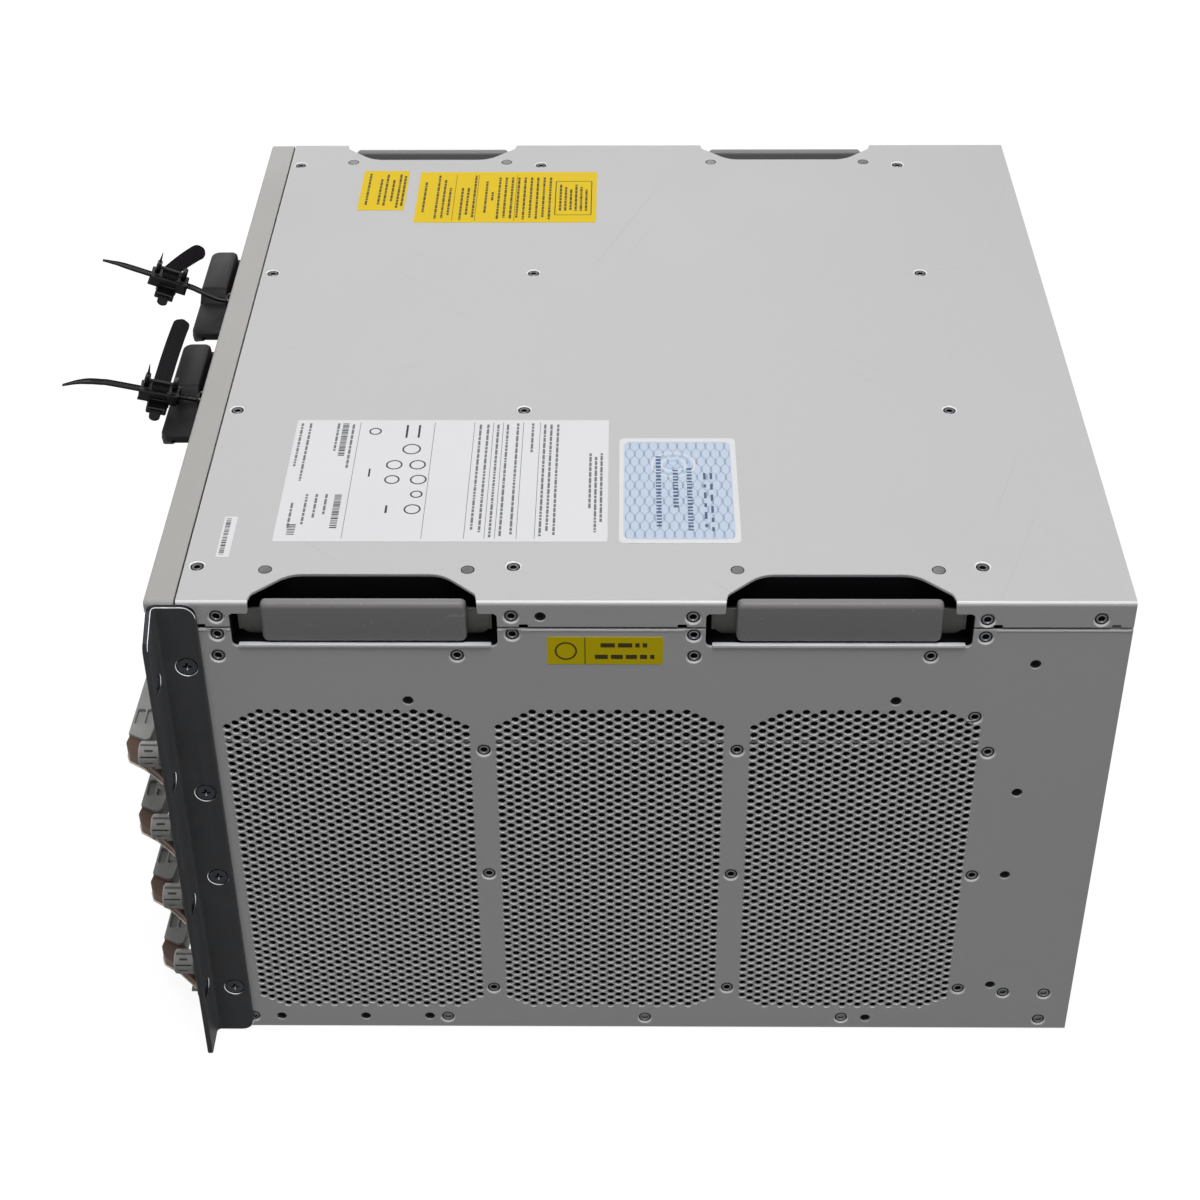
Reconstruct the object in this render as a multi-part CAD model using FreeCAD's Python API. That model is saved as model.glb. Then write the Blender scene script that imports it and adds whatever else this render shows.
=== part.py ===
"""Modular chassis switch, six rack units high: folded sheet case, four plug-in modules with
ejector levers and captive screws, two power supplies with cord retainers, two bay blanks and a
fan tray with six rotors.

Shapes are drawn in millimetres with x to the right seen from the front, y as the depth behind
the front plane and z up from the base. On export y moves so that the origin is the centre of
the base.
"""
import FreeCAD, Part
import math
import os

V = FreeCAD.Vector

# Case
WIDTH, DEPTH, HEIGHT = 445.0, 427.0, 266.0
SHEET = 1.5
HALF = WIDTH / 2
INNER = HALF - SHEET
BEZEL_DEPTH = 13.75
SEAM = 0.2                  # gap between neighbouring sheets
COVER_GAP = 0.8             # open joint between the bezel and the cover
FLANGE_Z = 251.9            # lower edge of the cover's side flange
BEND = 1.4                  # bevel that stands for a fold

# Carry handles, two on each side
HANDLE_DEPTHS = {"front": 94.4, "rear": 300.5}
CUT_HALF, CUT_FLAT_HALF = 49.6, 33.5
CUT_EDGE_X = 202.3
WIDE_HALF, WIDE_LOW, WIDE_HIGH = 57.9, 241.5, 259.4
GRIP_HALF, GRIP_LOW, GRIP_HIGH = 44.5, 243.4, 264.0
POCKET_FLOOR_Z = 240.0

# Side perforation, drawn as a coarse honeycomb
ZONES = ((82.8, 55.3), (200.75, 51.5), (315.2, 51.5))      # centre and half width
ZONE_LOW, ZONE_HIGH = 14.5, 205.8
HEX_COLUMNS, HEX_ROWS, HEX_WEB = 3, 6, 3.0

# Rack ears
EAR_T, EAR_REACH, EAR_FRONT, EAR_BACK, EAR_TOP = 2.5, 241.3, 1.8, 22.7, 262.5
EAR_BEND_R = 2.5
EAR_SLOT_X = 465.1 / 2
EAR_SLOT_Z = (37.7, 94.9, 171.0, 228.2)
EAR_SLOT_R, EAR_SLOT_LENGTH = 3.5, 11.0
EAR_SCREW_DEPTH, EAR_SCREW_Z = 15.9, (30.3, 105.0, 158.1, 232.0)

# Module bays
SLOT_PITCH, SLOT_MEAN_Z = 45.3, 94.0
SLOT_Z = [SLOT_MEAN_Z + SLOT_PITCH * (i - 1.5) for i in range(4)]
PLATE_LEFT, PLATE_RIGHT = -173.2, 217.0
MIRROR = PLATE_LEFT + PLATE_RIGHT       # left-hand parts are drawn at x = MIRROR - x
PLATE_HALF_Z, PLATE_FACE, PLATE_BACK = 22.2, -1.9, -0.3
TRAY_RIGHT = 202.5
TRAY_REAR = 372.0
OPENING_RIGHT = 203.5
KNOB_X, KNOB_DZ, KNOB_R, KNOB_RIBS = 210.0, 6.6, 6.1, 9
KNOB_FACE, KNOB_REAR = -15.3, -7.8
SHANK_R, SHANK_BORE_R, SHANK_END = 2.05, 2.13, 7.0
PIVOT_X, PIVOT_Y, PIN_R, PIN_BORE_R = 206.0, -5.5, 1.5, 1.57
LEVER_LOW, LEVER_HIGH = -12.4, -1.8     # heights about the slot's centre
NOTCH_LOW, NOTCH_HIGH = -12.7, -1.5

# Supply bays
BAY_PITCH, BAY_SHIFT = 97.8, -3.5
BAY_X = [BAY_SHIFT + BAY_PITCH * (i - 1.5) for i in range(4)]
BAY_WALL = 1.2
DECK_LOW, DECK_TOP = 185.4, 186.6
SUPPLY_HALF_X, SUPPLY_LOW, SUPPLY_HIGH = 47.8, 187.4, 262.4
SUPPLY_FACE, SUPPLY_REAR = 1.0, 380.0
PAD_TOP, LOW_TOP = 261.5, 255.5
HANDLE_LEFT, HANDLE_RIGHT, HANDLE_OUT = -47.5, 37.5, -18.0
INLET_DX, INLET_Z, INLET_W, INLET_H, INLET_DEEP = 5.0, 219.0, 30.0, 22.0, 20.0
TIE_DX, TIE_W, TIE_T, TIE_START_Z = 5.0, 3.8, 1.3, 260.4
TIE_LINES = {
    2: [(SUPPLY_FACE, TIE_START_Z), (-9.0, 262.6), (-20.0, 268.6), (-56.0, 282.4), (-64.5, 284.6)],
    3: [(SUPPLY_FACE, TIE_START_Z), (-4.0, 261.0), (-9.0, 262.0), (-46.0, 270.4), (-58.0, 271.2),
        (-68.3, 268.8)],
}
RUN = 2                     # the clip rides on the run from this point to the next
CLIP_START, CLIP_END, CLIP_HALF = 2.4, 22.0, 5.0
STRAP_START, STRAP_END, STRAP_RISE = 7.9, 16.5, 3.2

# Fan tray
TRAY_X = (-215.5, -182.5)
FAN_PLATE_X = (-219.6, -178.4)
FAN_DEPTHS, FAN_Z = (86.6, 200.75, 315.2), (50.5, 135.5)
FAN_FRAME_Z = (8.9, 177.6)
FAN_BORE_R, ROTOR_R, HUB_R, BLADES = 41.0, 39.5, 17.0, 5
FAN_SCREW_X, FAN_SCREW_Z = -199.0, (6.15, 180.6)

# Backplane
BACKPLANE_Y, BACKPLANE_T = 392.0, 3.2


def box(x0, x1, y0, y1, z0, z1):
    return Part.makeBox(x1 - x0, y1 - y0, z1 - z0, V(x0, y0, z0))


def cylinder(radius, start, axis, length):
    return Part.makeCylinder(radius, length, V(*start), V(*[c == axis for c in "xyz"]))


def rod(radius, start, axis, length, sides=12, hollow=False):
    """Regular prism for a small round feature; a hollow one keeps its flats on the radius."""
    reach = radius / math.cos(math.pi / sides) if hollow else radius
    turn = [2 * math.pi * (i + 0.5) / sides for i in range(sides)]
    place = "xyz".index(axis)
    across = [c for i, c in enumerate(start) if i != place]
    outline = [(across[0] + reach * math.cos(a), across[1] + reach * math.sin(a)) for a in turn]
    return prism(outline, axis, start[place], start[place] + length)


def hole(radius, start, axis, length, sides=12):
    return rod(radius, start, axis, length, sides, hollow=True)


def fuse(shapes):
    shapes = list(shapes)
    joined = shapes[0] if len(shapes) == 1 else shapes[0].multiFuse(shapes[1:])
    return joined.removeSplitter()


def cut(shape, tools):
    return shape.cut(list(tools)).removeSplitter()


def prism(points, axis, start, end):
    """Closed outline, given as the two coordinates other than axis, extruded from start to end."""
    def place(a, b):
        return {"x": V(start, a, b), "y": V(a, start, b), "z": V(a, b, start)}[axis]
    corners = [place(*p) for p in points]
    face = Part.Face(Part.makePolygon(corners + corners[:1]))
    travel = end - start
    return face.extrude({"x": V(travel, 0, 0), "y": V(0, travel, 0), "z": V(0, 0, travel)}[axis])


def edges_along(shape, axis, where):
    """Straight edges that run along an axis and whose middle passes the test."""
    found = []
    for edge in shape.Edges:
        if len(edge.Vertexes) != 2:
            continue
        run = edge.Vertexes[1].Point.sub(edge.Vertexes[0].Point)
        other = [abs(c) for i, c in enumerate(run) if i != "xyz".index(axis)]
        if run.Length > 1e-6 and max(other) < 1e-4 and where(edge.CenterOfMass):
            found.append(edge)
    return found


def rounded(shape, radius, axis, where=lambda point: True):
    return shape.makeFillet(radius, edges_along(shape, axis, where))


def bevelled(shape, size, axis, where=lambda point: True):
    return shape.makeChamfer(size, edges_along(shape, axis, where))


def mirrored_x(shape, about=0.0):
    return shape.mirror(V(about, 0, 0), V(1, 0, 0))


def folded_channel(half_width, top, low, thickness, bend, y0, y1):
    """Sheet folded down along both sides."""
    outer = bevelled(box(-half_width, half_width, y0, y1, low, top), bend, "y",
                     lambda p: p.z > top - 0.1)
    inner_half = half_width - thickness
    return outer.cut(box(-inner_half, inner_half, y0, y1, low - 1, top - thickness))


# ---------------------------------------------------------------- case

def top_cutout(centre):
    """Opening in the cover's top over a carry handle: tapered sides between soft corners."""
    outline = [(HALF + 1, centre - CUT_HALF), (HALF - 6, centre - CUT_HALF + 1),
               (CUT_EDGE_X, centre - CUT_FLAT_HALF), (CUT_EDGE_X, centre + CUT_FLAT_HALF),
               (HALF - 6, centre + CUT_HALF - 1), (HALF + 1, centre + CUT_HALF)]
    solid = prism(outline, "z", FLANGE_Z - 1, HEIGHT + 1)
    return bevelled(solid, 3.0, "z", lambda p: p.x < HALF - 1)


def side_cutout(centre):
    """Stepped opening in the side over a carry handle."""
    wide = box(INNER - 1, HALF + 1, centre - WIDE_HALF, centre + WIDE_HALF, WIDE_LOW, WIDE_HIGH)
    wide = bevelled(wide, 2.0, "x")
    narrow = box(INNER - 1, HALF + 1, centre - CUT_HALF, centre + CUT_HALF, WIDE_HIGH - 4,
                 HEIGHT + 1)
    return fuse([wide, narrow])


def make_top_cover():
    y0 = BEZEL_DEPTH + COVER_GAP / 2
    cover = folded_channel(HALF, HEIGHT, FLANGE_Z, SHEET, BEND, y0, DEPTH)
    rear_lip = box(-INNER, INNER, DEPTH - SHEET, DEPTH, FLANGE_Z, HEIGHT - SHEET)
    cover = fuse([cover, rear_lip])
    tools = []
    for centre in HANDLE_DEPTHS.values():
        right = fuse([top_cutout(centre), side_cutout(centre)])
        tools += [right, mirrored_x(right)]
    return cut(cover, tools)


def make_front_bezel():
    """Pressed frame: a strip behind the front edge and a face with the bay openings."""
    top = HEIGHT - 0.3
    strip = folded_channel(HALF, top, FLANGE_Z, SHEET, BEND, 0.0, BEZEL_DEPTH - COVER_GAP / 2)
    face = box(-INNER, INNER, 0.0, SHEET, SHEET, top - SHEET)
    frame = fuse([strip, face])
    bays = BAY_X[0] - BAY_PITCH / 2, BAY_X[3] + BAY_PITCH / 2
    tools = [
        box(MIRROR - OPENING_RIGHT, OPENING_RIGHT, -1, 2, 4.4, 184.6),
        box(-216.5, -181.5, -1, 2, FAN_FRAME_Z[0] - 0.4, FAN_FRAME_Z[1] + 0.4),
        box(bays[0] + BAY_WALL / 2, bays[1] - BAY_WALL / 2, -1, 2, 187.2, 263.2),
    ]
    for z in SLOT_Z:
        notch = box(203.0, 219.8, -1, 2, z + NOTCH_LOW, z + NOTCH_HIGH)
        bore = hole(SHANK_BORE_R, (KNOB_X, -1, z + KNOB_DZ), "y", 4, 8)
        for tool in (notch, bore):
            tools += [tool, mirrored_x(tool, MIRROR / 2)]
    for z in FAN_SCREW_Z:
        tools.append(hole(SHANK_BORE_R, (FAN_SCREW_X, -1, z), "y", 4, 8))
    return cut(frame, tools)


def hexagon(y, z, radius):
    points = [(y + radius * math.cos(math.radians(60 * i)), z + radius * math.sin(math.radians(60 * i)))
              for i in range(6)]
    return prism(points, "x", INNER - 1, HALF + 1)


def honeycomb(centre, half):
    """Hexagonal gaps that fill one zone of the side, the outer columns one row shorter."""
    pitch_y = 2 * half / (HEX_COLUMNS + 0.33)
    pitch_z = (ZONE_HIGH - ZONE_LOW) / HEX_ROWS
    radius = min(pitch_z / math.sqrt(3), pitch_y / 1.5) - HEX_WEB / math.sqrt(3)
    middle_z = (ZONE_LOW + ZONE_HIGH) / 2
    gaps = []
    for column in range(HEX_COLUMNS):
        rows = HEX_ROWS if column % 2 else HEX_ROWS - 1
        y = centre + (column - (HEX_COLUMNS - 1) / 2) * pitch_y
        for row in range(rows):
            gaps.append(hexagon(y, middle_z + (row - (rows - 1) / 2) * pitch_z, radius))
    return gaps


def make_side_panel():
    panel = box(INNER, HALF, 0.0, DEPTH, 0.0, FLANGE_Z - SEAM)
    tools = [side_cutout(centre) for centre in HANDLE_DEPTHS.values()]
    for centre, half in ZONES:
        tools += honeycomb(centre, half)
    return cut(panel, tools)


def make_bottom_pan():
    floor = box(-INNER, INNER, 0.0, DEPTH - SHEET, 0.0, SHEET)
    lip = box(INNER - SHEET, INNER, 4.0, BACKPLANE_Y - 2, SHEET, 11.0)
    return fuse([floor, lip, mirrored_x(lip)])


def make_rear_panel():
    """Back of the case with its edges folded forward."""
    back = box(-INNER, INNER, DEPTH - SHEET, DEPTH, 0.0, FLANGE_Z - SEAM)
    side = box(INNER - SHEET, INNER, DEPTH - 18, DEPTH - SHEET, SHEET, FLANGE_Z - SEAM)
    top = box(-INNER, INNER, DEPTH - 14, DEPTH - SHEET, FLANGE_Z - SEAM - SHEET, FLANGE_Z - SEAM)
    lug = box(-196.0, -166.0, DEPTH, DEPTH + 1.0, 30.0, 60.0)
    panel = fuse([back, side, mirrored_x(side), top, lug])
    bores = [cylinder(2.6, (x, DEPTH - 3, 45.0), "y", 5) for x in (-189.0, -173.0)]
    return cut(panel, bores)


def make_supply_cage():
    """Deck over the modules with the walls between the supply bays."""
    deck = box(-INNER, INNER, SHEET, BACKPLANE_Y, DECK_LOW, DECK_TOP)
    walls = []
    for i in range(5):
        x = BAY_X[0] + BAY_PITCH * (i - 0.5)
        walls.append(box(x - BAY_WALL / 2, x + BAY_WALL / 2, SHEET, BACKPLANE_Y, DECK_TOP,
                         HEIGHT - 0.3 - SHEET))
    return fuse([deck] + walls)


def make_fan_bay_wall():
    wall = box(-180.5, -179.3, SHEET, DEPTH - SHEET, SHEET, DECK_LOW)
    bores = [hole(FAN_BORE_R - 3, (-181, y, z), "x", 3, 8) for y in FAN_DEPTHS for z in FAN_Z]
    return cut(wall, bores)


def make_backplane():
    board = box(-179.3, INNER, BACKPLANE_Y, BACKPLANE_Y + BACKPLANE_T, SHEET, 240.0)
    sockets = [box(-122.0, 162.0, 383.0, BACKPLANE_Y, z - 7, z + 7) for z in SLOT_Z]
    power = [box(x - 20, x + 20, 381.0, BACKPLANE_Y, 205.0, 219.0) for x in BAY_X]
    return fuse([board] + sockets + power)


def make_card_guide():
    """Right-hand guide: a channel under each module's edge, carried by two posts."""
    parts = [box(204.5, 206.0, y, y + 28, SHEET, DECK_LOW) for y in (12.0, 350.0)]
    for z in SLOT_Z:
        channel = box(198.5, 204.5, 6.0, 378.0, z - 21.4, z - 16.2)
        groove = box(197.0, 203.3, 5.0, 379.0, z - 20.2, z - 17.4)
        parts.append(channel.cut(groove))
    return fuse(parts)


def make_carry_handle(centre):
    """Sheet pocket behind the openings, with the bracket and the grip bar across its mouth."""
    t = 1.2
    low, high = POCKET_FLOOR_Z, HEIGHT - SHEET
    y0, y1 = centre - WIDE_HALF - 1.2, centre + WIDE_HALF + 1.2
    shell = box(CUT_EDGE_X - t, INNER - 0.8, y0, y1, low, high)
    hollow = box(CUT_EDGE_X, INNER + 1, y0 + t, y1 - t, low + t, high + 1)
    pocket = shell.cut(hollow)
    lip = box(INNER, HALF + 0.6, centre - WIDE_HALF + 3, centre + WIDE_HALF - 3, WIDE_LOW + 0.2,
              WIDE_LOW + 1.4)
    ramp = box(INNER - 4.0, INNER, y0, y1, low, WIDE_LOW + 1.4)
    bracket = box(214.6, 216.2, y0 + t, y1 - t, low + 4, 258.5)
    bar = bevelled(box(216.2, HALF - 1.0, centre - GRIP_HALF, centre + GRIP_HALF, GRIP_LOW,
                       GRIP_HIGH), 2.0, "x")
    bar = bevelled(bar, 1.2, "y", lambda p: p.x > 220)
    back = box(216.0, 219.0, centre - GRIP_HALF + 3, centre + GRIP_HALF - 3, 247.0, 262.0)
    return fuse([pocket, lip, ramp, bracket, bar.cut(back)])


def make_rack_ear():
    """Angle bracket: a flange on the case's side and a front flange with four slots."""
    inner = EAR_FRONT + EAR_T
    outline = box(HALF, EAR_REACH, EAR_FRONT, EAR_BACK, 0.0, EAR_TOP)
    hollow = box(HALF + EAR_T, EAR_REACH + 1, inner, EAR_BACK + 1, -1, EAR_TOP + 1)
    ear = outline.cut(bevelled(hollow, EAR_BEND_R / 2, "z", lambda p: p.y < inner + 0.1))
    ear = rounded(ear, EAR_BEND_R, "z", lambda p: p.x < HALF + 0.1 and p.y < EAR_FRONT + 0.1)
    ear = bevelled(ear, 4.0, "x", lambda p: p.y > EAR_BACK - 0.1)
    ear = bevelled(ear, 1.5, "y", lambda p: p.x > EAR_REACH - 0.1)
    tools = []
    run = EAR_SLOT_LENGTH / 2 - EAR_SLOT_R
    for z in EAR_SLOT_Z:
        slot = box(EAR_SLOT_X - run, EAR_SLOT_X + run, 0, inner + 1, z - EAR_SLOT_R, z + EAR_SLOT_R)
        tools.append(fuse([slot] + [cylinder(EAR_SLOT_R, (EAR_SLOT_X + side * run, 0, z), "y",
                                             inner + 1) for side in (-1, 1)]))
    for z in EAR_SCREW_Z:
        tools.append(hole(5.6, (HALF - 1, EAR_SCREW_DEPTH, z), "x", EAR_T + 2, 8))
    return cut(ear, tools)


def make_ear_screws():
    """Flush screws that hold the ears, as a group."""
    screws = []
    for z in EAR_SCREW_Z:
        screw = rod(5.4, (HALF, EAR_SCREW_DEPTH, z), "x", EAR_T - 0.3, 8)
        screws += [screw, mirrored_x(screw)]
    return Part.makeCompound(screws)


# ---------------------------------------------------------------- modules

def lever_outline():
    """Right-hand lever seen from above, from the finger end to the nose past the pivot."""
    return [(138.0, -21.5), (141.0, -25.0), (180.0, -25.5), (189.5, -27.0), (195.5, -24.0),
            (211.5, -9.0), (220.2, -8.0), (220.2, -4.2), (209.0, -2.4), (203.0, -2.4),
            (196.0, -6.0), (184.5, -14.5), (141.0, -14.5), (138.0, -17.0)]


def make_lever(z, left):
    body = prism(lever_outline(), "z", z + LEVER_LOW, z + LEVER_HIGH)
    grips = [box(x, x + 6.0, -23.6, -16.4, z + LEVER_HIGH - 4, z + LEVER_HIGH + 1)
             for x in (154.0, 162.5)]
    pivot = cylinder(PIN_BORE_R, (PIVOT_X, PIVOT_Y, z + LEVER_LOW - 1), "z", 13)
    step = box(184.0, 222.0, -30.0, -1.0, z + LEVER_HIGH - 1.6, z + LEVER_HIGH + 1)
    lever = cut(body, grips + [pivot, step])
    return mirrored_x(lever, MIRROR / 2) if left else lever


def make_knob(x, z):
    """Captive screw: a ribbed knob with a slot, on a shank that reaches the frame."""
    outline = []
    for i in range(2 * KNOB_RIBS):
        a, r = math.pi * (i + 0.5) / KNOB_RIBS, KNOB_R - 0.9 * (i % 2)
        outline.append((x + r * math.cos(a), z + r * math.sin(a)))
    knob = prism(outline, "y", KNOB_FACE, KNOB_REAR)
    shank = cylinder(SHANK_R, (x, KNOB_REAR - 1, z), "y", SHANK_END - KNOB_REAR + 1)
    slot = box(x - 3.6, x + 3.6, KNOB_FACE - 1, KNOB_FACE + 1.4, z - 0.6, z + 0.6)
    return cut(fuse([knob, shank]), [slot])


def module_end(z):
    """Right-hand end fittings of a faceplate: the screw's collar and the lever's lugs and pin."""
    collar = rod(4.6, (KNOB_X, -7.6, z + KNOB_DZ), "y", 7.6 + PLATE_BACK, 8)
    lugs = [box(201.0, 211.0, -9.5, PLATE_FACE, z + low, z + low + 1.2)
            for low in (LEVER_LOW - 1.5, LEVER_HIGH + 0.3)]
    return fuse([collar] + lugs)


def port_row(count, x0, pitch, z, width, height, reach):
    return [box(x0 + i * pitch - width / 2, x0 + i * pitch + width / 2, PLATE_FACE - reach,
                PLATE_FACE, z - height / 2, z + height / 2) for i in range(count)]


def make_module(z, supervisor):
    """Faceplate, carrier tray, board and what stands on the board."""
    plate = box(PLATE_LEFT, PLATE_RIGHT, PLATE_FACE, PLATE_BACK, z - PLATE_HALF_Z, z + PLATE_HALF_Z)
    notch = box(202.0, PLATE_RIGHT + 1, PLATE_FACE - 1, 1, z + NOTCH_LOW, z + NOTCH_HIGH)
    bore = hole(SHANK_BORE_R, (KNOB_X, -8, z + KNOB_DZ), "y", 10, 8)
    end = module_end(z)
    tray_left = MIRROR - TRAY_RIGHT
    tray = box(tray_left, TRAY_RIGHT, PLATE_BACK, TRAY_REAR, z - 19.6, z - 18.0)
    board = box(tray_left + 6, TRAY_RIGHT - 6, 3.0, TRAY_REAR, z - 13.0, z - 11.4)
    posts = [box(x - 3, x + 3, 20.0, 360.0, z - 18.0, z - 13.0) for x in (-140.0, 184.0)]
    web = [box(tray_left + 10, TRAY_RIGHT - 10, PLATE_BACK, 3.0, z - 18.0, z + 12.0)]
    plugs = [box(-122.0, 162.0, TRAY_REAR - 6, 382.6, z - 12.0, z + 4.0)]
    if supervisor:
        ports = port_row(2, -72.0, 46.0, z + 2.0, 42.0, 9.5, 2.4)
        ports += port_row(2, 44.0, 59.2, z + 2.0, 57.0, 8.8, 2.4)
        chips = [(-110, -40, 60, 150, 14), (-10, 60, 80, 180, 18), (60, 150, 230, 330, 10)]
    else:
        ports = port_row(3, -55.0, 72.0, z + 7.0, 68.0, 8.8, 2.4)
        ports += port_row(3, -55.0, 72.0, z - 5.6, 68.0, 8.8, 2.4)
        chips = [(-100, -50, 90, 140, 16), (60, 110, 90, 140, 16), (-60, 40, 220, 300, 18)]
    heat = [box(x0, x1, y0, y1, z - 11.4, z - 11.4 + h) for x0, x1, y0, y1, h in chips]
    cages = [box(-92.0, 128.0, 3.0, 52.0, z - 11.4, z + 12.0)]
    body = fuse([plate, end, mirrored_x(end, MIRROR / 2), tray, board] + posts + web + plugs
                + ports + heat + cages)
    # the pins stay whole where the notches pass them
    pins = [rod(PIN_R, (x, PIVOT_Y, z + LEVER_LOW - 1), "z", 12.6, 6)
            for x in (PIVOT_X, MIRROR - PIVOT_X)]
    body = body.cut([notch, mirrored_x(notch, MIRROR / 2), bore, mirrored_x(bore, MIRROR / 2)])
    return fuse([body] + pins)


# ---------------------------------------------------------------- supplies

def make_supply_case(x):
    case = box(x - SUPPLY_HALF_X, x + SUPPLY_HALF_X, SUPPLY_FACE, SUPPLY_REAR, SUPPLY_LOW,
               SUPPLY_HIGH)
    inlet = bevelled(box(x + INLET_DX - INLET_W / 2, x + INLET_DX + INLET_W / 2, SUPPLY_FACE - 3,
                         SUPPLY_FACE + INLET_DEEP, INLET_Z - INLET_H / 2, INLET_Z + INLET_H / 2),
                     4.0, "y", lambda p: p.z < INLET_Z)
    rim = box(x + INLET_DX - 18, x + INLET_DX + 18, SUPPLY_FACE - 1.5, SUPPLY_FACE + 1,
              INLET_Z - 14, INLET_Z + 14)
    vents = [hole(13.0, (x - 29.0, SUPPLY_FACE - 1, z), "y", 3, 16) for z in (205.0, 234.0)]
    slots = [box(x + 28.0, x + 44.0, SUPPLY_FACE - 1, SUPPLY_FACE + 2, z, z + 3.0)
             for z in (202.0, 210.0, 218.0)]
    boss = box(x + TIE_DX - 3.5, x + TIE_DX + 3.5, SUPPLY_FACE - 2.5, SUPPLY_FACE + 1, 257.6, 262.9)
    grommet = box(x + TIE_DX - TIE_W / 2, x + TIE_DX + TIE_W / 2, SUPPLY_FACE - 3,
                  SUPPLY_FACE + 1, TIE_START_Z - TIE_T / 2, TIE_START_Z + TIE_T / 2 + 0.9)
    return cut(fuse([case, rim, boss]), [inlet, grommet] + vents + slots)


def make_supply_handle(x):
    """Pull handle: a plate with a raised pad, its outer edge turned down for the fingers."""
    lip = 15.0
    profile_y = (HANDLE_OUT, SUPPLY_FACE)
    low = box(x + HANDLE_LEFT, x + HANDLE_RIGHT, *profile_y, LOW_TOP - 4.5, LOW_TOP)
    low = bevelled(low, 4.0, "z", lambda p: p.y < HANDLE_OUT + 0.1)
    edge = box(x + HANDLE_LEFT + 6, x + HANDLE_RIGHT - 6, HANDLE_OUT, HANDLE_OUT + 4.0,
               LOW_TOP - lip, LOW_TOP - 2)
    pad_outline = [(x + HANDLE_LEFT, LOW_TOP - 1), (x + HANDLE_LEFT + 1.5, PAD_TOP),
                   (x - 2.0, PAD_TOP), (x + 2.2, LOW_TOP), (x + 2.2, LOW_TOP - 1)]
    pad = prism(pad_outline, "y", HANDLE_OUT, -3.0)
    pad = bevelled(pad, 0.8, "y", lambda p: p.z > PAD_TOP - 0.1)
    base = box(x + HANDLE_LEFT + 4, x + HANDLE_RIGHT - 4, SUPPLY_FACE - 1.6, SUPPLY_FACE,
               LOW_TOP - 12, LOW_TOP - 2)
    return fuse([low, edge, pad, base])


def strip(points, half_thickness):
    """Closed outline of a bent strip, offset both ways from its middle line."""
    sides = [[], []]
    for i, (a, b) in enumerate(points):
        before, after = points[max(i - 1, 0)], points[min(i + 1, len(points) - 1)]
        run = math.hypot(after[0] - before[0], after[1] - before[1])
        normal = (-(after[1] - before[1]) / run, (after[0] - before[0]) / run)
        for side, sign in zip(sides, (1, -1)):
            side.append((a + sign * half_thickness * normal[0], b + sign * half_thickness * normal[1]))
    return sides[0] + sides[1][::-1]


def make_tie(x, line):
    outline = strip(line, TIE_T / 2)
    return prism(outline, "x", x + TIE_DX - TIE_W / 2, x + TIE_DX + TIE_W / 2)


def along_tie(shape, line):
    """Turns a shape drawn level at the tie's straight run to lie along it."""
    (y0, z0), (y1, z1) = line[RUN:RUN + 2]
    shape.rotate(V(0, y0, z0), V(1, 0, 0), math.degrees(math.atan((z1 - z0) / (y1 - y0))))
    return shape


def make_clip(x, line):
    """Sliding clip: a sleeve on the tie with a slotted loop for the strap on top."""
    y0, z0 = line[RUN]
    cx, near, far = x + TIE_DX, y0 - CLIP_START, y0 - CLIP_END
    sleeve = box(cx - CLIP_HALF, cx + CLIP_HALF, far, near, z0 - 2.6, z0 + 2.6)
    passage = box(cx - TIE_W / 2 - 0.3, cx + TIE_W / 2 + 0.3, far - 1, near + 1, z0 - TIE_T / 2 - 0.3,
                  z0 + TIE_T / 2 + 0.3)
    tab = box(cx - 1.2, cx + 1.2, far + 0.6, far + 2.0, z0 + 2.6, z0 + 9.0)
    cheeks = [box(cx - CLIP_HALF, cx + CLIP_HALF, y, y + 2.2, z0 + 2.6, z0 + 6.0)
              for y in (far + 2.8, near - 4.6)]
    bridge = box(cx - 3.0, cx + 3.0, far + 3.0, near - 3.0, z0 + 4.8, z0 + 6.0)
    return along_tie(cut(fuse([sleeve, tab, bridge] + cheeks), [passage]), line)


def make_strap(x, line, curled):
    """Hook-and-loop strap through the clip, its free end lying flat or curled up and aside."""
    y0, z0 = line[RUN]
    cx, z = x + TIE_DX, z0 + STRAP_RISE
    y = y0 - STRAP_END, y0 - STRAP_START
    tab = [(cx + 22, z - 3.0), (cx + 14, z - 1.0), (cx + 6, z)]
    if curled:
        free = prism(strip([(cx - 7, z + 0.3), (cx - 15, z + 3.5), (cx - 24, z + 9.0)], 0.6), "y", *y)
        free.rotate(V(cx - 7, sum(y) / 2, 0), V(0, 0, 1), -25.0)
        strap = fuse([prism(strip(tab + [(cx - 8, z + 0.3)], 0.6), "y", *y), free])
    else:
        strap = prism(strip(tab + [(cx - 30, z + 0.6), (cx - 60, z + 3.0)], 0.6), "y", *y)
    block = box(cx + 6.5, cx + 15.5, y[0] - 0.7, y[1] + 0.7, z - 3.5, z + 0.8)
    return along_tie(fuse([strap, block]), line)


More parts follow.
